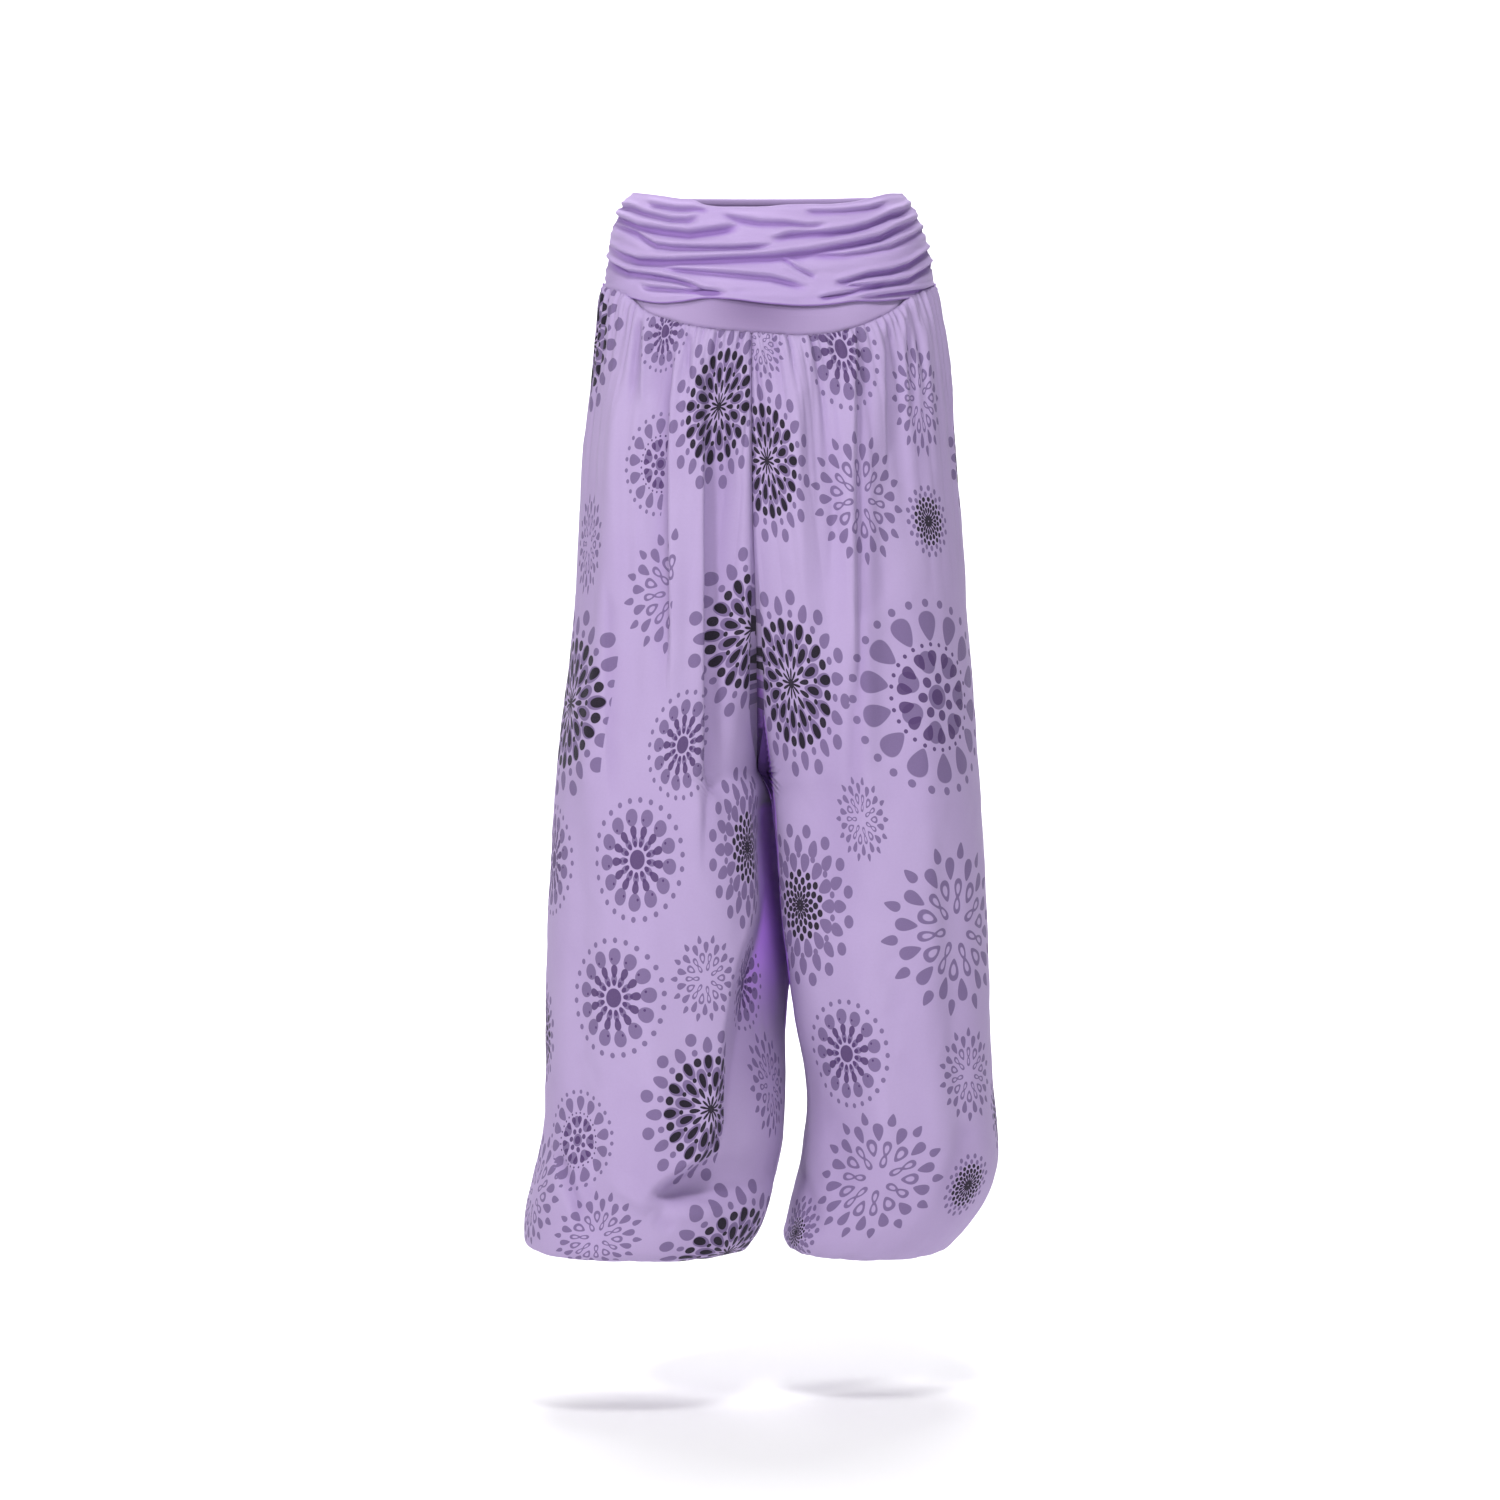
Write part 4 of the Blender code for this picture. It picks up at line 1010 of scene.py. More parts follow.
def in_valley(along):
    """0 to 1: how much of the centre seam's valley there is at a distance from the waist."""
    bottom = ease((CROTCH_DOWN - along) / VALLEY_BOTTOM_FADE)
    return bottom * ease((along - VALLEY_TOP) / VALLEY_TOP_FADE)


def seamed(leg, half, relief, along, from_side, from_inner):
    """A leg panel's relief with the grooves of its seams."""
    relief = relief * (ease(from_side / SEAM_FLAT) * ease(from_inner / SEAM_FLAT))
    depth, width = SIDE_GROOVE
    relief -= depth * bell(from_side, width)
    valley = in_valley(along)
    below = ease((along - CROTCH_DOWN - INNER_GROOVE_START) / INNER_GROOVE_RUN)
    depth = np.where(along < CROTCH_DOWN, CENTRE_GROOVE_DEPTH * valley, INNER_GROOVE_DEPTH * below)
    relief -= depth * bell(from_inner, GROOVE_WIDTH)
    if half == "front":
        relief -= VALLEY_DEPTH * valley * bell(from_inner, VALLEY_WIDTH[leg] * MM)
        slot = ease((CROTCH_DOWN + SLOT_END - along) / SLOT_FADE)
        relief -= SLOT_DEPTH * slot * bell(from_inner, SLOT_WIDTH)
    return relief


def behind_fold_painted_shade(points, along):
    """The painted shade of the right front's cloth that hangs back behind its long fold."""
    shade = np.zeros_like(along)
    for row, level in enumerate(along[:, 0]):
        edge, back_by, turn_width = follow(SET_BACK, level)
        inside = ease((points[row, :, 0] - edge) / turn_width + 0.5)
        deep = 1.0
        for start, length, loss in SET_BACK_FADES:
            deep -= loss * ease((level - start) / length)
        shade[row] = deep * inside * min(back_by / SET_BACK_SHADED, 1.0)
    return shade


def inner_painted_shade(half, along, from_inner):
    """The painted shade on a leg's inner side below the crotch."""
    reach, most, start = INNER_SHADE[half]
    most -= INNER_SHADE_LOSS * most * ease((along - start) / INNER_SHADE_RUN)
    return most * ease(1.0 - from_inner / reach) * ease((along - CROTCH_DOWN) / INNER_SHADE_RISE)


def leg_painted_shade(leg, half, points, along, below, from_inner, relief):
    """How much shade is painted on each point of a leg panel."""
    full = SHADED_DEPTH - GATHERS_LESS * np.exp(-below / GATHERS_LENGTH)
    hollow = np.clip(-relief / full, 0.0, CREASE_SHADE)
    if (leg, half) == ("right", "front"):
        hollow += behind_fold_painted_shade(points, along)
    else:
        hollow += inner_painted_shade(half, along, from_inner)
    if (leg, half) == ("left", "front"):
        reach, top, rise, bottom, fall = BESIDE_SEAM_SHADE
        ends = ease(1.0 - from_inner / reach) * ease((along - top) / rise)
        hollow += ends * ease((bottom - along) / fall)
    if half == "front":
        in_slot = SLOT_SHADE * bell(from_inner, SLOT_WIDTH)
        beside = VALLEY_SHADE * bell(from_inner, VALLEY_WIDTH[leg] * MM) + in_slot
        hollow += in_valley(along) * beside
        hollow = np.where(along < CROTCH_DOWN, np.minimum(hollow, CREASE_SHADE), hollow)
    return hollow


def tuck_behind_lip(points, along, hollow):
    """Lets the left front's cloth fall back behind its lip to the seam, and paints deep shade on it."""
    for row, level in enumerate(along[:, -1]):
        if LEFT_LIP[0][0] < level < LEFT_LIP[-1][0]:
            lip, share = follow(LEFT_LIP, level)
            inside = share * ease((lip - points[row, :, 0]) / LIP_WIDTH + 0.5)
            hollow[row] += LIP_SHADE * inside
            back_by = np.maximum(points[row, -1, 1] - points[row, :, 1], 0.0)
            points[row, :, 1] += back_by * inside


def leg_cloth(leg, half):
    """A leg panel: points, distances from the side seam, distances along, and painted shade."""
    turn = -OUTWARD[leg] * FACING[half]
    seed = SEEDS[leg, half]
    points, places, along, below = leg_grid(leg, half)
    normals = surface_normals(points, turn)
    points = points - normals * (YOKE_SEAM_INSET * np.exp(-below / PUFF_LENGTH))[..., None]
    normals = leg_normals(points, turn, along)
    width = places[:, -1:]
    from_inner = width - places
    relief = gather_relief(places, below, YOKE_GATHERS, seed)
    relief += small_fold_relief(places, width, below, seed + 3)
    relief += gather_relief(places, ANKLE_ALONG - along, ANKLE_GATHERS, seed + 5)
    relief += flow_relief(places, along, seed + 9)
    relief += crease_relief(LEG_CREASES[leg, half], *as_seen(points, half))
    # Shade painted into the creases, behind the long fold and beside the seams
    hollow = leg_painted_shade(leg, half, points, along, below, from_inner, relief)
    relief = seamed(leg, half, relief, along, places, from_inner)
    relief[0] *= TOP_ROW_SHARE
    points = points + normals * relief[..., None]
    if (leg, half) == ("left", "front"):
        tuck_behind_lip(points, along, hollow)
    return points, places, along, np.clip(hollow, 0.0, DEEPEST_SHADE)


# ----------------------------------------------------------------------- meshes of cloth

def cloth_object(name, points, turn, places, along, cloth):
    """A grid of points as a sheet, with its own flat-cloth UVs; turn is its winding."""
    rows, columns = points.shape[:2]
    index = np.arange(rows * columns).reshape(rows, columns)
    a, b = index[:-1, :-1].ravel(), index[:-1, 1:].ravel()
    c, d = index[1:, 1:].ravel(), index[1:, :-1].ravel()
    faces = np.column_stack((a, b, c, d) if turn > 0 else (a, d, c, b))
    mesh = bpy.data.meshes.new(name)
    mesh.vertices.add(rows * columns)
    mesh.vertices.foreach_set("co", points.reshape(-1, 3).astype(np.float32).ravel())
    mesh.loops.add(faces.size)
    mesh.loops.foreach_set("vertex_index", faces.ravel().astype(np.int32))
    mesh.polygons.add(len(faces))
    mesh.polygons.foreach_set("loop_start", np.arange(0, faces.size, 4, dtype=np.int32))
    mesh.update(calc_edges=True)
    mesh.validate()
    flat = np.column_stack((places.ravel(), along.ravel()))[faces.ravel()]
    uv = mesh.uv_layers.new(name="flat_cloth")
    uv.uv.foreach_set("vector", flat.astype(np.float32).ravel())
    mesh.shade_smooth()
    piece = bpy.data.objects.new(name, mesh)
    bpy.context.scene.collection.objects.link(piece)
    thick = piece.modifiers.new("cloth", "SOLIDIFY")
    thick.thickness = cloth
    thick.offset = -1.0
    thick.use_even_offset = False
    return piece, faces


def mark_painted_shade(piece, hollow):
    """Keeps how much shade is painted on each point of the cloth."""
    attribute = piece.data.attributes.new("hollow", "FLOAT", "POINT")
    attribute.data.foreach_set("value", hollow.astype(np.float32).ravel())


def print_on(piece, faces, points, places, along, hollow, half, figures):
    """Gives each face the place of the figure that it lies in, in half widths, and its
    material slot. Where the cloth is gathered the print is drawn together with it, and the
    deep fold above the crotch shows plain cloth."""
    in_fold = (hollow > BARE_SHADE) & (along < CROTCH_DOWN + BARE_BELOW)
    bare = in_fold.ravel()[faces].all(axis=1)
    x, down = as_seen(points, half)
    width = places[:, -1]
    free_width = np.interp(DRAWN_BELOW, along[:, 0], width)
    drawn = np.where(along[:, 0] > DRAWN_BELOW, free_width / width, 1.0)[:, None]
    flat = places * drawn
    corner_u = flat.ravel()[faces]
    corner_v = along.ravel()[faces]
    middle_u, middle_v = corner_u.mean(axis=1), corner_v.mean(axis=1)
    sense = 1.0 if x[len(x) // 2, -1] > x[len(x) // 2, 0] else -1.0
    nearest = np.full(len(faces), WHOLE)
    local = np.full((len(faces), 4, 3), OFF_PRINT)
    slots = np.zeros(len(faces), dtype=np.int32)
    names = ["plain"]
    for figure in figures:
        kind, seen_x, seen_down, half_width, half_height, turn, cut = Printed(*figure)
        if kind not in names:
            names.append(kind)
        gap_x, gap_down = x - seen_x * MM, down - seen_down * MM
        gaps = np.where(along < SHOWN_ALONG, gap_x**2 + gap_down**2, 1e9)
        row, column = np.unravel_index(np.argmin(gaps), x.shape)
        u = flat[row, column] - gap_x[row, column] * sense * drawn[row, 0]
        v = along[row, column] - gap_down[row, column]
        across = sense / drawn[row, 0] / (half_width * MM)
        px = (corner_u - u) * across
        py = (corner_v - v) / (half_height * MM)
        angle = math.radians(turn)
        gap = np.hypot((middle_u - u) * across, (middle_v - v) / (half_height * MM))
        taken = (gap < nearest) & (px.min(axis=1) < cut) & ~bare
        nearest[taken] = gap[taken]
        slots[taken] = names.index(kind)
        local[taken, :, 0] = (px * math.cos(angle) - py * math.sin(angle))[taken]
        local[taken, :, 1] = (px * math.sin(angle) + py * math.cos(angle))[taken]
        local[taken, :, 2] = (cut - px)[taken]
    attribute = piece.data.attributes.new("print_place", "FLOAT_VECTOR", "CORNER")
    attribute.data.foreach_set("vector", local.astype(np.float32).ravel())
    for kind in names:
        piece.data.materials.append(viscose(kind))
    piece.data.polygons.foreach_set("material_index", slots)


# ----------------------------------------------------------------------------- materials

def srgb(red, green, blue):
    """A colour by its screen values, 0 to 255."""
    return tuple(
        c / 12.92 if c <= 0.04045 else ((c + 0.055) / 1.055) ** 2.4
        for c in (red / 255.0, green / 255.0, blue / 255.0)
    ) + (1.0,)


LILAC = srgb(172, 154, 193)
LILAC_WARM = srgb(168, 149, 190)
# Shade painted into the viscose by its hollow attribute, in three steps: a grey lilac, a bright violet
# for light bounced and shining through the cloth in deeper hollows, and a deep violet
PAINTED_SHADE_LILAC = srgb(152, 131, 176)
PAINTED_HOLLOW_VIOLET = srgb(196, 140, 244)
PAINTED_DEEP_SHADE_LILAC = srgb(104, 72, 142)
THREAD_GAP = (0.02, 0.012, 0.03, 1.0)
# Each jersey: its light and warm tones, then the colour of the shade painted into its hollows
SASH_COLOURS = (srgb(176, 155, 199), srgb(170, 149, 195), srgb(148, 112, 186))
YOKE_COLOURS = (srgb(168, 149, 189), srgb(163, 143, 184), srgb(124, 104, 144))
KNIT_GAP = (0.03, 0.02, 0.05, 1.0)
SHEEN_TINT = (0.86, 0.80, 1.0, 1.0)
VIEWPORT_LILAC = (0.45, 0.36, 0.6, 1.0)

# Each ink's colour and how well it covers the cloth
INKS = {
    "grey": (srgb(104, 86, 128), 0.86),
    "deep": (srgb(76, 54, 100), 0.93),
    "black": (srgb(16, 10, 22), 0.97),
}
INK_WEAR = 0.10
INK_FILL = 0.04
INK_EDGE = 7.0
# An outlined petal is inked in a band just inside its edge: the band's middle and half
# width, where 0 is the petal's edge and 1 its middle
OUTLINE = (0.30, 0.42)

# Threads to the metre, across and down
VISCOSE_THREADS = (1900.0, 1700.0)
JERSEY_LOOPS = (1300.0, 1700.0)
BUMP_STRENGTH = 0.35


class Nodes:
    """Short ways to add nodes to one tree."""

    def __init__(self, tree):
        self.tree = tree

    def add(self, kind, **settings):
        node = self.tree.nodes.new(kind)
        for name, value in settings.items():
            setattr(node, name, value)
        return node

    def put(self, socket, value):
        if isinstance(value, bpy.types.NodeSocket):
            self.tree.links.new(value, socket)
        else:
            socket.default_value = value

    def maths(self, operation, *values, clamp=False):
        node = self.add("ShaderNodeMath", operation=operation, use_clamp=clamp)
        for socket, value in zip(node.inputs, values):
            self.put(socket, value)
        return node.outputs[0]

    def mix(self, share, first, second):
        node = self.add("ShaderNodeMix", data_type="RGBA", clamp_factor=True)
        self.put(node.inputs["Factor"], share)
        self.put(node.inputs[6], first)
        self.put(node.inputs[7], second)
        return node.outputs[2]

    def noise(self, vector, scale, detail=2.0, roughness=0.5):
        node = self.add("ShaderNodeTexNoise")
        self.put(node.inputs["Vector"], vector)
        self.put(node.inputs["Scale"], scale)
        self.put(node.inputs["Detail"], detail)
        self.put(node.inputs["Roughness"], roughness)
        return node.outputs["Fac"]

    def place(self):
        return self.add("ShaderNodeTexCoord").outputs["Object"]

    def flat_cloth(self):
        return self.add("ShaderNodeUVMap", uv_map="flat_cloth").outputs[0]

    # The painted shade that a piece keeps in its hollow attribute
    def hollow(self):
        return self.add("ShaderNodeAttribute", attribute_name="hollow").outputs["Fac"]

    def apart(self, vector):
        node = self.add("ShaderNodeSeparateXYZ")
        self.put(node.inputs[0], vector)
        return node.outputs


def new_material(name):
    """A material with nodes, and ways to add to them."""
    material = bpy.data.materials.new(name)
    material.use_nodes = True
    return material, Nodes(material.node_tree)


@cache
def petal_ring():
    """A group that draws one ring of petals or dots, by folding the turn into one step."""
    group = bpy.data.node_groups.new("petal_ring", "ShaderNodeTree")
    face = group.interface
    for name in ("Radius", "Turns", "Count", "Start", "At", "Half length", "Half width", "Taper"):
        face.new_socket(name=name, in_out="INPUT", socket_type="NodeSocketFloat")
    face.new_socket(name="Inside", in_out="OUTPUT", socket_type="NodeSocketFloat")
    n = Nodes(group)
    given = n.add("NodeGroupInput").outputs
    turned = n.maths("MULTIPLY_ADD", given["Turns"], given["Count"], given["Start"])
    step = n.maths("SUBTRACT", n.maths("FRACT", turned), 0.5)
    angle = n.maths("DIVIDE", n.maths("MULTIPLY", step, 2.0 * math.pi), given["Count"])
    out = n.maths("MULTIPLY", given["Radius"], n.maths("COSINE", angle))
    x = n.maths("DIVIDE", n.maths("SUBTRACT", out, given["At"]), given["Half length"])
    y = n.maths("MULTIPLY", given["Radius"], n.maths("SINE", angle))
    tapered = n.maths("MULTIPLY", x, given["Taper"])
    y = n.maths("DIVIDE", y, n.maths("MULTIPLY_ADD", tapered, given["Half width"], given["Half width"]))
    length = n.maths("MULTIPLY_ADD", x, x, n.maths("MULTIPLY", y, y))
    result = n.add("NodeGroupOutput")
    n.put(result.inputs["Inside"], n.maths("SUBTRACT", 1.0, length))
    return group


def inked(n, kind, ground):
    """The print's inks over the cloth's colour."""
    x, y, shown = n.apart(n.add("ShaderNodeAttribute", attribute_name="print_place").outputs["Vector"])
    radius = n.maths("SQRT", n.maths("MULTIPLY_ADD", x, x, n.maths("MULTIPLY", y, y)))
    turns = n.maths("DIVIDE", n.maths("ARCTAN2", y, x), 2.0 * math.pi)
    shown = n.maths("GREATER_THAN", shown, 0.0)
    masks = {}
    for ink, count, start, at, half_length, half_width, taper in FIGURES[kind]:
        if count == 1:
            reach = n.maths("DIVIDE", radius, half_length)
            inside = n.maths("SUBTRACT", 1.0, n.maths("MULTIPLY", reach, reach))
        else:
            ring = n.add("ShaderNodeGroup", node_tree=petal_ring())
            given = (radius, turns, count, start, at, half_length, half_width, taper)
            for socket, value in zip(ring.inputs, given):
                n.put(socket, value)
            inside = ring.outputs[0]
        if ink == "line":
            middle, half_way = OUTLINE
            off = n.maths("ABSOLUTE", n.maths("SUBTRACT", inside, middle))
            inside = n.maths("SUBTRACT", half_way, off)
            ink = "grey"
        mask = n.maths("MULTIPLY_ADD", inside, INK_EDGE, 0.5, clamp=True)
        masks[ink] = n.maths("MAXIMUM", masks[ink], mask) if ink in masks else mask
    wear = n.noise(n.flat_cloth(), 900.0, 1.0)
    colour = ground
    for ink, (dye, cover) in INKS.items():
        if ink in masks:
            cover = n.maths("MULTIPLY_ADD", wear, -INK_WEAR, cover + INK_FILL)
            share = n.maths("MULTIPLY", n.maths("MULTIPLY", masks[ink], shown), cover)
            colour = n.mix(share, colour, dye)
    return colour


def threads(n, across, down):
    """Waves of the cloth's threads or loops, one wave to each, across and down."""
    u, v, _ = n.apart(n.flat_cloth())
    warp = n.maths("SINE", n.maths("MULTIPLY", u, across * 2.0 * math.pi))
    weft = n.maths("SINE", n.maths("MULTIPLY", v, down * 2.0 * math.pi))
    return warp, weft


def cloth_shader(n, material, colour, height, distance, roughness, sheen):
    """The shader of a matt cloth, with its threads as bump."""
    shader = n.tree.nodes["Principled BSDF"]
    n.put(shader.inputs["Base Color"], colour)
    n.put(shader.inputs["Roughness"], roughness)
    shader.inputs["Specular IOR Level"].default_value = 0.25
    shader.inputs["Sheen Weight"].default_value = sheen
    shader.inputs["Sheen Roughness"].default_value = 0.45
    shader.inputs["Sheen Tint"].default_value = SHEEN_TINT
    bump = n.add("ShaderNodeBump")
    bump.inputs["Strength"].default_value = BUMP_STRENGTH
    bump.inputs["Distance"].default_value = distance
    n.put(bump.inputs["Height"], height)
    n.put(shader.inputs["Normal"], bump.outputs["Normal"])
    material.diffuse_color = VIEWPORT_LILAC


@cache
def viscose(kind):
    """Soft woven viscose with one printed figure, or none, and shade painted into its hollows."""
    material, n = new_material(f"viscose_{kind}")
    patches = n.noise(n.place(), 9.0, 3.0)
    shift = n.maths("MULTIPLY_ADD", patches, 2.2, -0.6, clamp=True)
    ground = n.mix(shift, LILAC, LILAC_WARM)
    # Shade painted into the cloth's creases, recesses and hollows, in three steps
    hollow = n.hollow()
    ground = n.mix(hollow, ground, PAINTED_SHADE_LILAC)
    for start, deeper in ((0.5, PAINTED_HOLLOW_VIOLET), (1.0, PAINTED_DEEP_SHADE_LILAC)):
        share = n.maths("MULTIPLY_ADD", hollow, 2.0, -2.0 * start, clamp=True)
        ground = n.mix(share, ground, deeper)
    if kind in FIGURES:
        ground = inked(n, kind, ground)
    warp, weft = threads(n, *VISCOSE_THREADS)
    slubs = n.noise(n.flat_cloth(), 420.0, 2.0)
    weave = n.maths("MULTIPLY_ADD", n.maths("MULTIPLY", warp, weft), 0.5, slubs)
    ground = n.mix(n.maths("MULTIPLY", weave, 0.06), ground, THREAD_GAP)
    roughness = n.maths("MULTIPLY_ADD", slubs, 0.12, 0.74)
    cloth_shader(n, material, ground, weave, 0.00018, roughness, 0.08)
    return material


def jersey(name, light, warm, shade, sheen):
    """Fine knitted jersey: wales down, courses across, soft colour changes, and shade painted into its
    hollows.
    """
    material, n = new_material(name)
    patches = n.maths("MULTIPLY_ADD", n.noise(n.place(), 14.0, 3.0), 2.0, -0.5, clamp=True)
    colour = n.mix(patches, light, warm)
    # Shade painted into the jersey's hollows
    colour = n.mix(n.maths("MULTIPLY", n.hollow(), 0.8), colour, shade)
    wale, course = threads(n, *JERSEY_LOOPS)
    loops = n.maths("MULTIPLY_ADD", n.maths("ABSOLUTE", wale), 0.8, n.maths("MULTIPLY", course, 0.3))
    fuzz = n.noise(n.flat_cloth(), 600.0, 2.0)
    colour = n.mix(n.maths("MULTIPLY", fuzz, 0.07), colour, KNIT_GAP)
    roughness = n.maths("MULTIPLY_ADD", fuzz, 0.12, 0.66)
    cloth_shader(n, material, colour, n.maths("ADD", loops, fuzz), 0.00022, roughness, sheen)
    return material


# ------------------------------------------------------- the sash, the yoke and the casings

def band_grid(half, across, down):
    """Points of the hips' outline for rows and columns of down, with distances along."""
    levels = []
    share = 1.0 - np.abs(2.0 * across - 1.0)
    on_right = across <= 0.5
    quarter = np.linspace(0.0, math.pi / 2.0, CURVE_STEPS)
    for number in range(BAND_LEVELS):
        level = BAND_FIRST + number * BAND_STEP
        right, left, seam, front, back = follow(HIPS, level)
        middle_y = (front + back) / 2.0
        depth = FACING[half] * (back - front) / 2.0
        sides = [oval(seam, middle_y, outer - seam, depth, quarter) for outer in (right, left)]
        whole = [lengths_along(side)[-1] for side in sides]
        right_points = places_on(sides[0], share * whole[0])[0]
        left_points = places_on(sides[1], share * whole[1])[0]
        points = np.where(on_right[:, None], right_points, left_points)
        run = np.where(on_right, share * whole[0], whole[0] + whole[1] - share * whole[1])
        levels.append(np.column_stack((points, np.full(len(across), -level), run)))
    values = sample_levels(np.array(levels), BAND_FIRST, BAND_STEP, down)
    points = values[..., :3].copy()
    points[..., 2] = -down
    return points, values[..., 3]


def front_edge(edge, across):
    """The height of a long edge of the front that is given in the front view."""
    near, table = edge
    row = band_grid("front", across, np.full((1, len(across)), near))[0][0]
    seen_x = as_seen(row, "front")[0] / MM
    seen = np.array([follow(table, x)[0] for x in seen_x]) * MM
    return VIEW_DOWN + (seen - VIEW_DOWN) * (VIEW_AWAY + row[:, 1]) / VIEW_AWAY


def back_edge(edge, across):
    """The height of a long edge of the back, lowest in the middle."""
    side, dip = edge
    return side + dip * (1.0 - np.abs(2.0 * across - 1.0) ** DIP_POWER)


def yoke_seam(half, across):
    """Where the legs are gathered into the yoke."""
    if half == "front":
        return front_edge(YOKE_SEAM_FRONT, across)
    return back_edge((YOKE_SIDE, YOKE_DIP), across)


def sash_edges(half, across):
    """The sash's upper and lower long edges."""
    if half == "front":
        return front_edge(SASH_TOP_FRONT, across), front_edge(SASH_BOTTOM_FRONT, across)
    return back_edge(SASH_TOP_BACK, across), back_edge(SASH_BOTTOM_BACK, across)


def band_panel(half, across, top, bottom, row_count):
    """A plain panel round the hips between two long edges: its points, distances along,
    heights, and normals that keep its ends in the plane of the side seams."""
    rows = np.linspace(0.0, 1.0, row_count + 1)
    down = top[None, :] + (bottom - top)[None, :] * rows[:, None]
    points, places = band_grid(half, across, down)
    normals = surface_normals(points, FACING[half])
    for end in (0, -1):
        normals[:, end] = flattened(normals[:, end], 1)
    return points, places, down, normals


def sash_relief(half, x, down, from_seam, share):
    """Ruched folds: a soft crest above each hollow and a slow rise below it. Share is the
    share of the way from the sash's top to its bottom."""
    relief = np.zeros_like(x)
    for depth, above, below, line in SASH_CREASES[half]:
        line = np.array(line, dtype=float) * MM
        middle = np.interp(x, line[:, 0], line[:, 1])
        gap = (down - middle) / MM
        along = (x - line[0, 0]) / (line[-1, 0] - line[0, 0])
        fade = ease(along / SASH_FOLD_FADE + 0.25) * ease((1.0 - along) / SASH_FOLD_FADE + 0.25)
        fade *= (along > -SASH_FOLD_PAST) * (along < 1.0 + SASH_FOLD_PAST)
        hollow = bell(gap, np.where(gap < 0.0, above, below))
        height, place, width = SASH_CREST
        crest = height * bell(gap + place * above, width * above)
        height, place, width = SASH_SWELL
        swell = height * bell(gap - place * below, width * below)
        relief += FOLD_DEPTH * depth * MM * fade * (crest + swell - hollow)
    height, spacing, reach, end = SASH_PUCKERS
    pucker = np.sin(2.0 * math.pi * down / spacing + 1.3 * wander(down / 0.011, 4))
    relief += height * pucker * np.exp(-from_seam / reach) * ease(share / end) * ease((1.0 - share) / end)
    relief += SASH_UNEVEN * wander(x / 0.019 + down / 0.009, 6) * wander(down / 0.0048 - x / 0.05, 8)
    return relief


def turned_in(points, normals, row, way):
    """Rows that roll in behind one long edge, so that it reads as folded cloth."""
    rolled = []
    for angle in HEM_ANGLES:
        angle = math.radians(angle)
        edge_row = points[row] - normals[row] * (HEM_TURN * (1.0 - math.cos(angle)))
        edge_row[:, 2] += way * HEM_TURN * math.sin(angle)
        rolled.append(edge_row)
    tail = rolled[-1].copy()
    tail[:, 2] -= way * HEM_TAIL
    return np.array(rolled + [tail])


def sash_cloth(half):
    """A half of the sash: points, distances along, heights and painted shade."""
    across = np.linspace(0.0, 1.0, SASH_COLUMNS + 1)
    top, bottom = sash_edges(half, across)
    points, places, down, normals = band_panel(half, across, top, bottom, SASH_ROWS)
    height = (bottom - top)[None, :]
    share = np.linspace(0.0, 1.0, SASH_ROWS + 1)[:, None]
    from_seam = np.minimum(places, places[:, -1:] - places)
    seen_x, seen_down = as_seen(points, half)
    seen_share = (seen_down - top[None, :]) / height
    relief = sash_relief(half, seen_x, seen_down, from_seam, seen_share)
    relief = SASH_MOST * np.tanh(relief / SASH_MOST) + SASH_KEPT * relief
    # Shade painted into the sash's hollows by their depth
    hollow = np.clip(-relief / SASH_SHADED_DEPTH, 0.0, 1.0)
    edge = np.minimum(share, 1.0 - share) * height
    left, reach = SASH_EDGE_HOLD
    depth, width = SASH_EDGE_GROOVE
    relief = relief * (left + (1.0 - left) * ease(edge / reach)) - depth * bell(edge, width)
    left, reach = SASH_SIDE_HOLD
    relief *= left + (1.0 - left) * ease(from_seam / reach)
    depth, width = SASH_SIDE_GROOVE
    relief -= depth * bell(from_seam, width)
    out, beside, above = SASH_EAR
    relief += out * (bell(from_seam, beside) * bell((1.0 - share) * height, above))
    points = points + normals * (relief - SASH_INSET)[..., None]

    over = turned_in(points, normals, 0, 1.0)[::-1]
    under = turned_in(points, normals, -1, -1.0)
    count = len(over)
    extra = np.arange(count, 0, -1)[:, None] * HEM_ROW
    points = np.concatenate((over, points, under))
    places = np.concatenate((places[:1].repeat(count, 0), places, places[-1:].repeat(count, 0)))
    down = np.concatenate((down[:1] - extra, down, down[-1:] + extra[::-1]))
    # The turned-in lower edge is painted in full shade
    hollow = np.concatenate((hollow[:1].repeat(count, 0), hollow, np.ones((count, len(across)))))
    return points, places, down, hollow


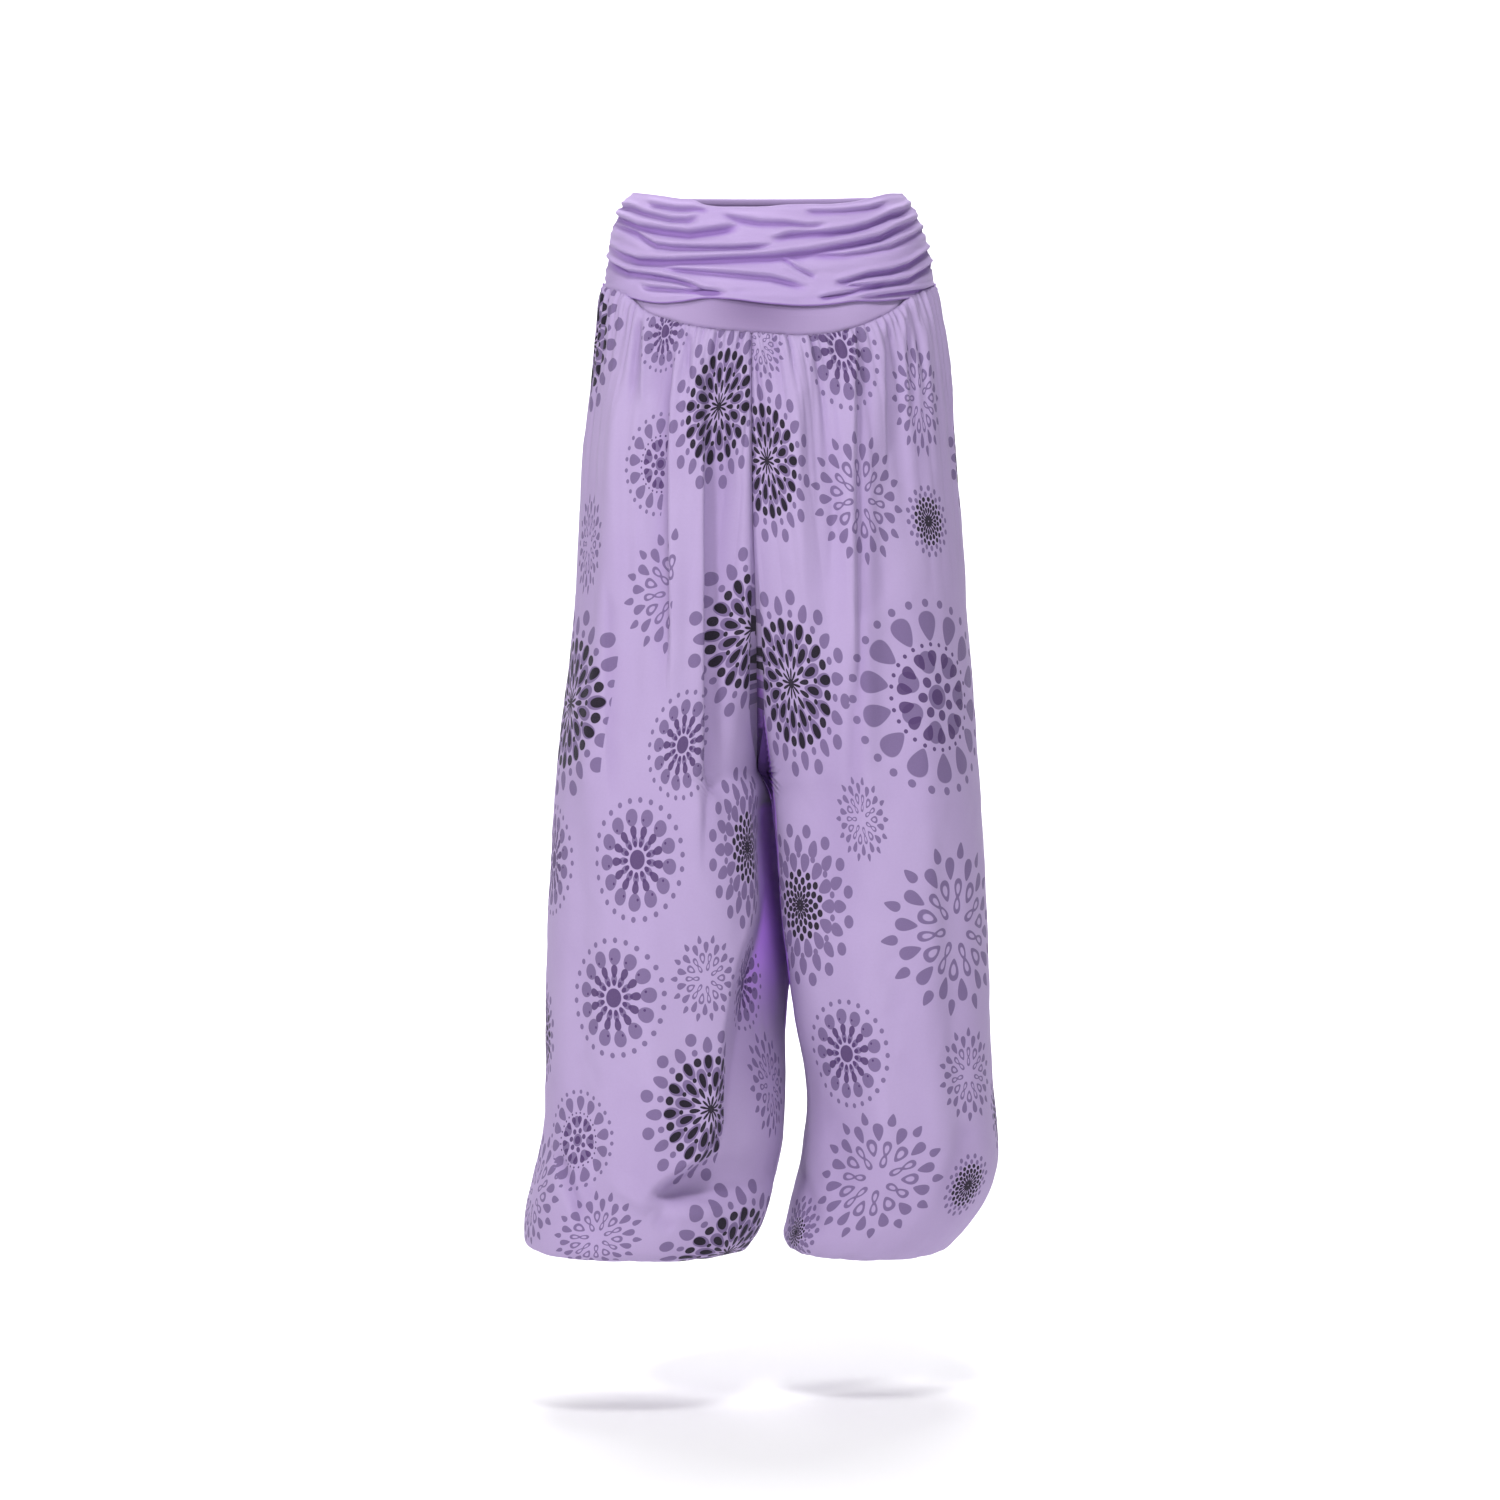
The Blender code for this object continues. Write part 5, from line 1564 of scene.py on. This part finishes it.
def yoke_cloth(half):
    """A half of the yoke: points, distances along, heights and the sash's painted shadow."""
    across = np.linspace(0.0, 1.0, YOKE_COLUMNS + 1)
    sash_top, sash_bottom = sash_edges(half, across)
    top = sash_top + YOKE_UNDER
    bottom = yoke_seam(half, across) + YOKE_LAP
    points, places, down, normals = band_panel(half, across, top, bottom, YOKE_ROWS)
    above_seam = bottom[None, :] - down
    height, spacing, reach = YOKE_PUCKERS
    relief = height * wander(places / spacing, 31) * np.exp(-above_seam / reach)
    height, spacing, reach = YOKE_WAVES
    relief += height * wander(places / spacing, 33) * ease(above_seam / reach)
    relief *= ease(above_seam / YOKE_SEAM_FLAT)
    under_sash = sash_bottom[None, :] - down
    nearing = ease((under_sash + YOKE_INSET_RUN) / YOKE_INSET_RUN)
    inset = YOKE_SEAM_INSET + (SASH_CLEARANCE - YOKE_SEAM_INSET) * nearing
    inset += (YOKE_INSET - SASH_CLEARANCE) * ease(under_sash / YOKE_INSET_RUN)
    points = points + normals * (relief - inset)[..., None]
    # The sash's shadow is painted on the middle of the yoke, fading downward
    most, half_width, reach = YOKE_PAINTED_SHADOW
    near_middle = bell(across - 0.5, half_width)[None, :]
    return points, places, down, most * near_middle * ease(1.0 + under_sash / reach)


def casing_cloth(leg):
    """The elastic casing inside a leg's blousing: a shirred tube in narrow channels, as
    points, distances round and heights."""
    down, outer, inner, front, back = follow(LEGS[leg], ANKLE_ALONG)
    around = np.linspace(0.0, 2.0 * math.pi, CASING_COLUMNS + 1)[None, :]
    share = np.linspace(0.0, 1.0, CASING_ROWS + 1)[:, None]
    shirr = np.cos(CASING_WAVES * around) + 0.5 * np.cos(17.0 * around + 2.0 * np.sin(3.0 * around))
    channel = np.abs(np.sin(CASING_CHANNELS * math.pi * share)) ** 0.6
    uneven = CASING_SHIRR * shirr * (0.4 + channel + 1.6 * share**3)
    reach = CASING_RADIUS + CASING_PUFF * channel + uneven
    x = (outer + inner) / 2.0 + reach * np.cos(around)
    y = (front + back) / 2.0 + reach * np.sin(around)
    z = np.broadcast_to(-down + CASING_RISE - CASING_HEIGHT * share, x.shape)
    places = np.broadcast_to(around * CASING_RADIUS, x.shape)
    return np.stack((x, y, z), axis=2), places, np.broadcast_to(CASING_HEIGHT * share, x.shape)


# ---------------------------------------------------------------------------- the pieces

sash_material = jersey("ruched_jersey_knit", *SASH_COLOURS, 0.12)
yoke_material = jersey("plain_jersey_knit", *YOKE_COLOURS, 0.08)

for half in ("front", "back"):
    facing = FACING[half]
    points, places, down, hollow = sash_cloth(half)
    piece, faces = cloth_object(f"sash_cloth_{half}", points, facing, places, down, JERSEY_CLOTH)
    mark_painted_shade(piece, hollow)
    piece.data.materials.append(sash_material)
    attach(piece, "root")
    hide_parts(f"sash_{half}")

    points, places, down, hollow = yoke_cloth(half)
    piece, faces = cloth_object(f"yoke_cloth_{half}", points, facing, places, down, JERSEY_CLOTH)
    mark_painted_shade(piece, hollow)
    piece.data.materials.append(yoke_material)
    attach(piece, "root")
    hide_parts(f"yoke_{half}")

    for leg in ("right", "left"):
        points, places, along, hollow = leg_cloth(leg, half)
        turn = -OUTWARD[leg] * facing
        piece, faces = cloth_object(f"{leg}_leg_cloth_{half}", points, turn, places, along, LEG_CLOTH)
        mark_painted_shade(piece, hollow)
        print_on(piece, faces, points, places, along, hollow, half, PRINTS[leg, half])
        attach(piece, "root")
        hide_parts(f"{leg}_leg_{half}")


for leg in ("right", "left"):
    points, places, down = casing_cloth(leg)
    piece, faces = cloth_object(f"ankle_casing_cloth_{leg}", points, -1, places, down, JERSEY_CLOTH)
    piece.data.materials.append(viscose("casing"))
    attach(piece, "root")
    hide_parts(f"ankle_casing_{leg}")


# ----------------------------------------------------------------------------- the stage

FLOOR_DOWN = 1.152
FLOOR_HALF_WIDTH = 7.0
FLOOR_FRONT = -7.0
FLOOR_BACK = 5.6
BACKDROP_TURN = 1.6
BACKDROP_HEIGHT = 6.5
FLOOR_WHITES = (srgb(250, 250, 250), srgb(247, 247, 248))

LOOK_AT = Vector((VIEW_X, 0.0, -0.528))
FRAME_WIDTH = 1.44
SENSOR_WIDTH = 36.0

# Round lamps: name, place, what they are aimed at, width, power, colour
LAMPS = (
    ("key", (-2.4, -3.3, 2.2), (0.0, 0.0, -0.5), 0.7, 115.0, (1.0, 0.99, 0.98)),
    ("top", (0.3, -1.7, 2.9), (0.0, 0.0, -0.1), 0.8, 58.0, (1.0, 1.0, 1.0)),
    ("low", (1.0, -4.5, -0.9), (0.0, 0.0, -0.8), 1.4, 56.0, (0.98, 0.98, 1.0)),
    ("backdrop", (0.0, 3.4, 3.4), (0.0, 7.0, 0.0), 3.0, 260.0, (1.0, 1.0, 1.0)),
    ("floor", (0.0, 1.8, 2.8), (0.0, 1.4, -1.1), 2.4, 110.0, (1.0, 1.0, 1.0)),
)
WORLD_COLOUR = (0.97, 0.97, 1.0, 1.0)
WORLD_STRENGTH = 0.30


def stage_material():
    """Matt white paper."""
    material, n = new_material("pale_floor")
    grain = n.noise(n.place(), 3.0, 2.0)
    shader = material.node_tree.nodes["Principled BSDF"]
    n.put(shader.inputs["Base Color"], n.mix(grain, *FLOOR_WHITES))
    n.put(shader.inputs["Roughness"], n.maths("MULTIPLY_ADD", grain, 0.05, 0.85))
    return material


def make_stage():
    """A pale floor that curves up into a backdrop."""
    profile = [(FLOOR_FRONT, 0.0), (FLOOR_BACK, 0.0)]
    for angle in range(10, 91, 10):
        turn = math.radians(angle)
        rise = BACKDROP_TURN * (1.0 - math.cos(turn))
        profile.append((FLOOR_BACK + BACKDROP_TURN * math.sin(turn), rise))
    profile.append((FLOOR_BACK + BACKDROP_TURN, BACKDROP_HEIGHT))
    points, faces = [], []
    for y, z in profile:
        points += [(x, y, z - FLOOR_DOWN) for x in (-FLOOR_HALF_WIDTH, FLOOR_HALF_WIDTH)]
    for n in range(len(profile) - 1):
        faces.append((2 * n, 2 * n + 1, 2 * n + 3, 2 * n + 2))
    mesh = bpy.data.meshes.new("studio_floor")
    mesh.from_pydata(points, [], faces)
    mesh.shade_smooth()
    mesh.materials.append(stage_material())
    floor = bpy.data.objects.new("studio_floor", mesh)
    bpy.context.scene.collection.objects.link(floor)


def turned_to(thing, place, aim):
    """Puts a lamp or a camera at a place and turns it to look at another."""
    thing.location = place
    thing.rotation_mode = "QUATERNION"
    thing.rotation_quaternion = (Vector(aim) - Vector(place)).to_track_quat("-Z", "Y")
    bpy.context.scene.collection.objects.link(thing)


def make_lights():
    """Soft lamps and a pale surround."""
    for name, place, aim, size, power, colour in LAMPS:
        lamp = bpy.data.lights.new(name, "AREA")
        lamp.shape = "DISK"
        lamp.size = size
        lamp.energy = power
        lamp.color = colour
        turned_to(bpy.data.objects.new(name, lamp), place, aim)
    world = bpy.data.worlds.new("studio")
    world.use_nodes = True
    surround = world.node_tree.nodes["Background"]
    surround.inputs["Color"].default_value = WORLD_COLOUR
    surround.inputs["Strength"].default_value = WORLD_STRENGTH
    bpy.context.scene.world = world


def make_camera():
    """A camera in front of the hips, wide enough for the whole garment."""
    data = bpy.data.cameras.new("camera")
    data.sensor_width = SENSOR_WIDTH
    data.lens = SENSOR_WIDTH * VIEW_AWAY / FRAME_WIDTH
    camera = bpy.data.objects.new("camera", data)
    turned_to(camera, (VIEW_X, -VIEW_AWAY, -VIEW_DOWN), LOOK_AT)
    bpy.context.scene.camera = camera


make_stage()
make_lights()
make_camera()
bpy.context.scene.view_settings.view_transform = "Standard"
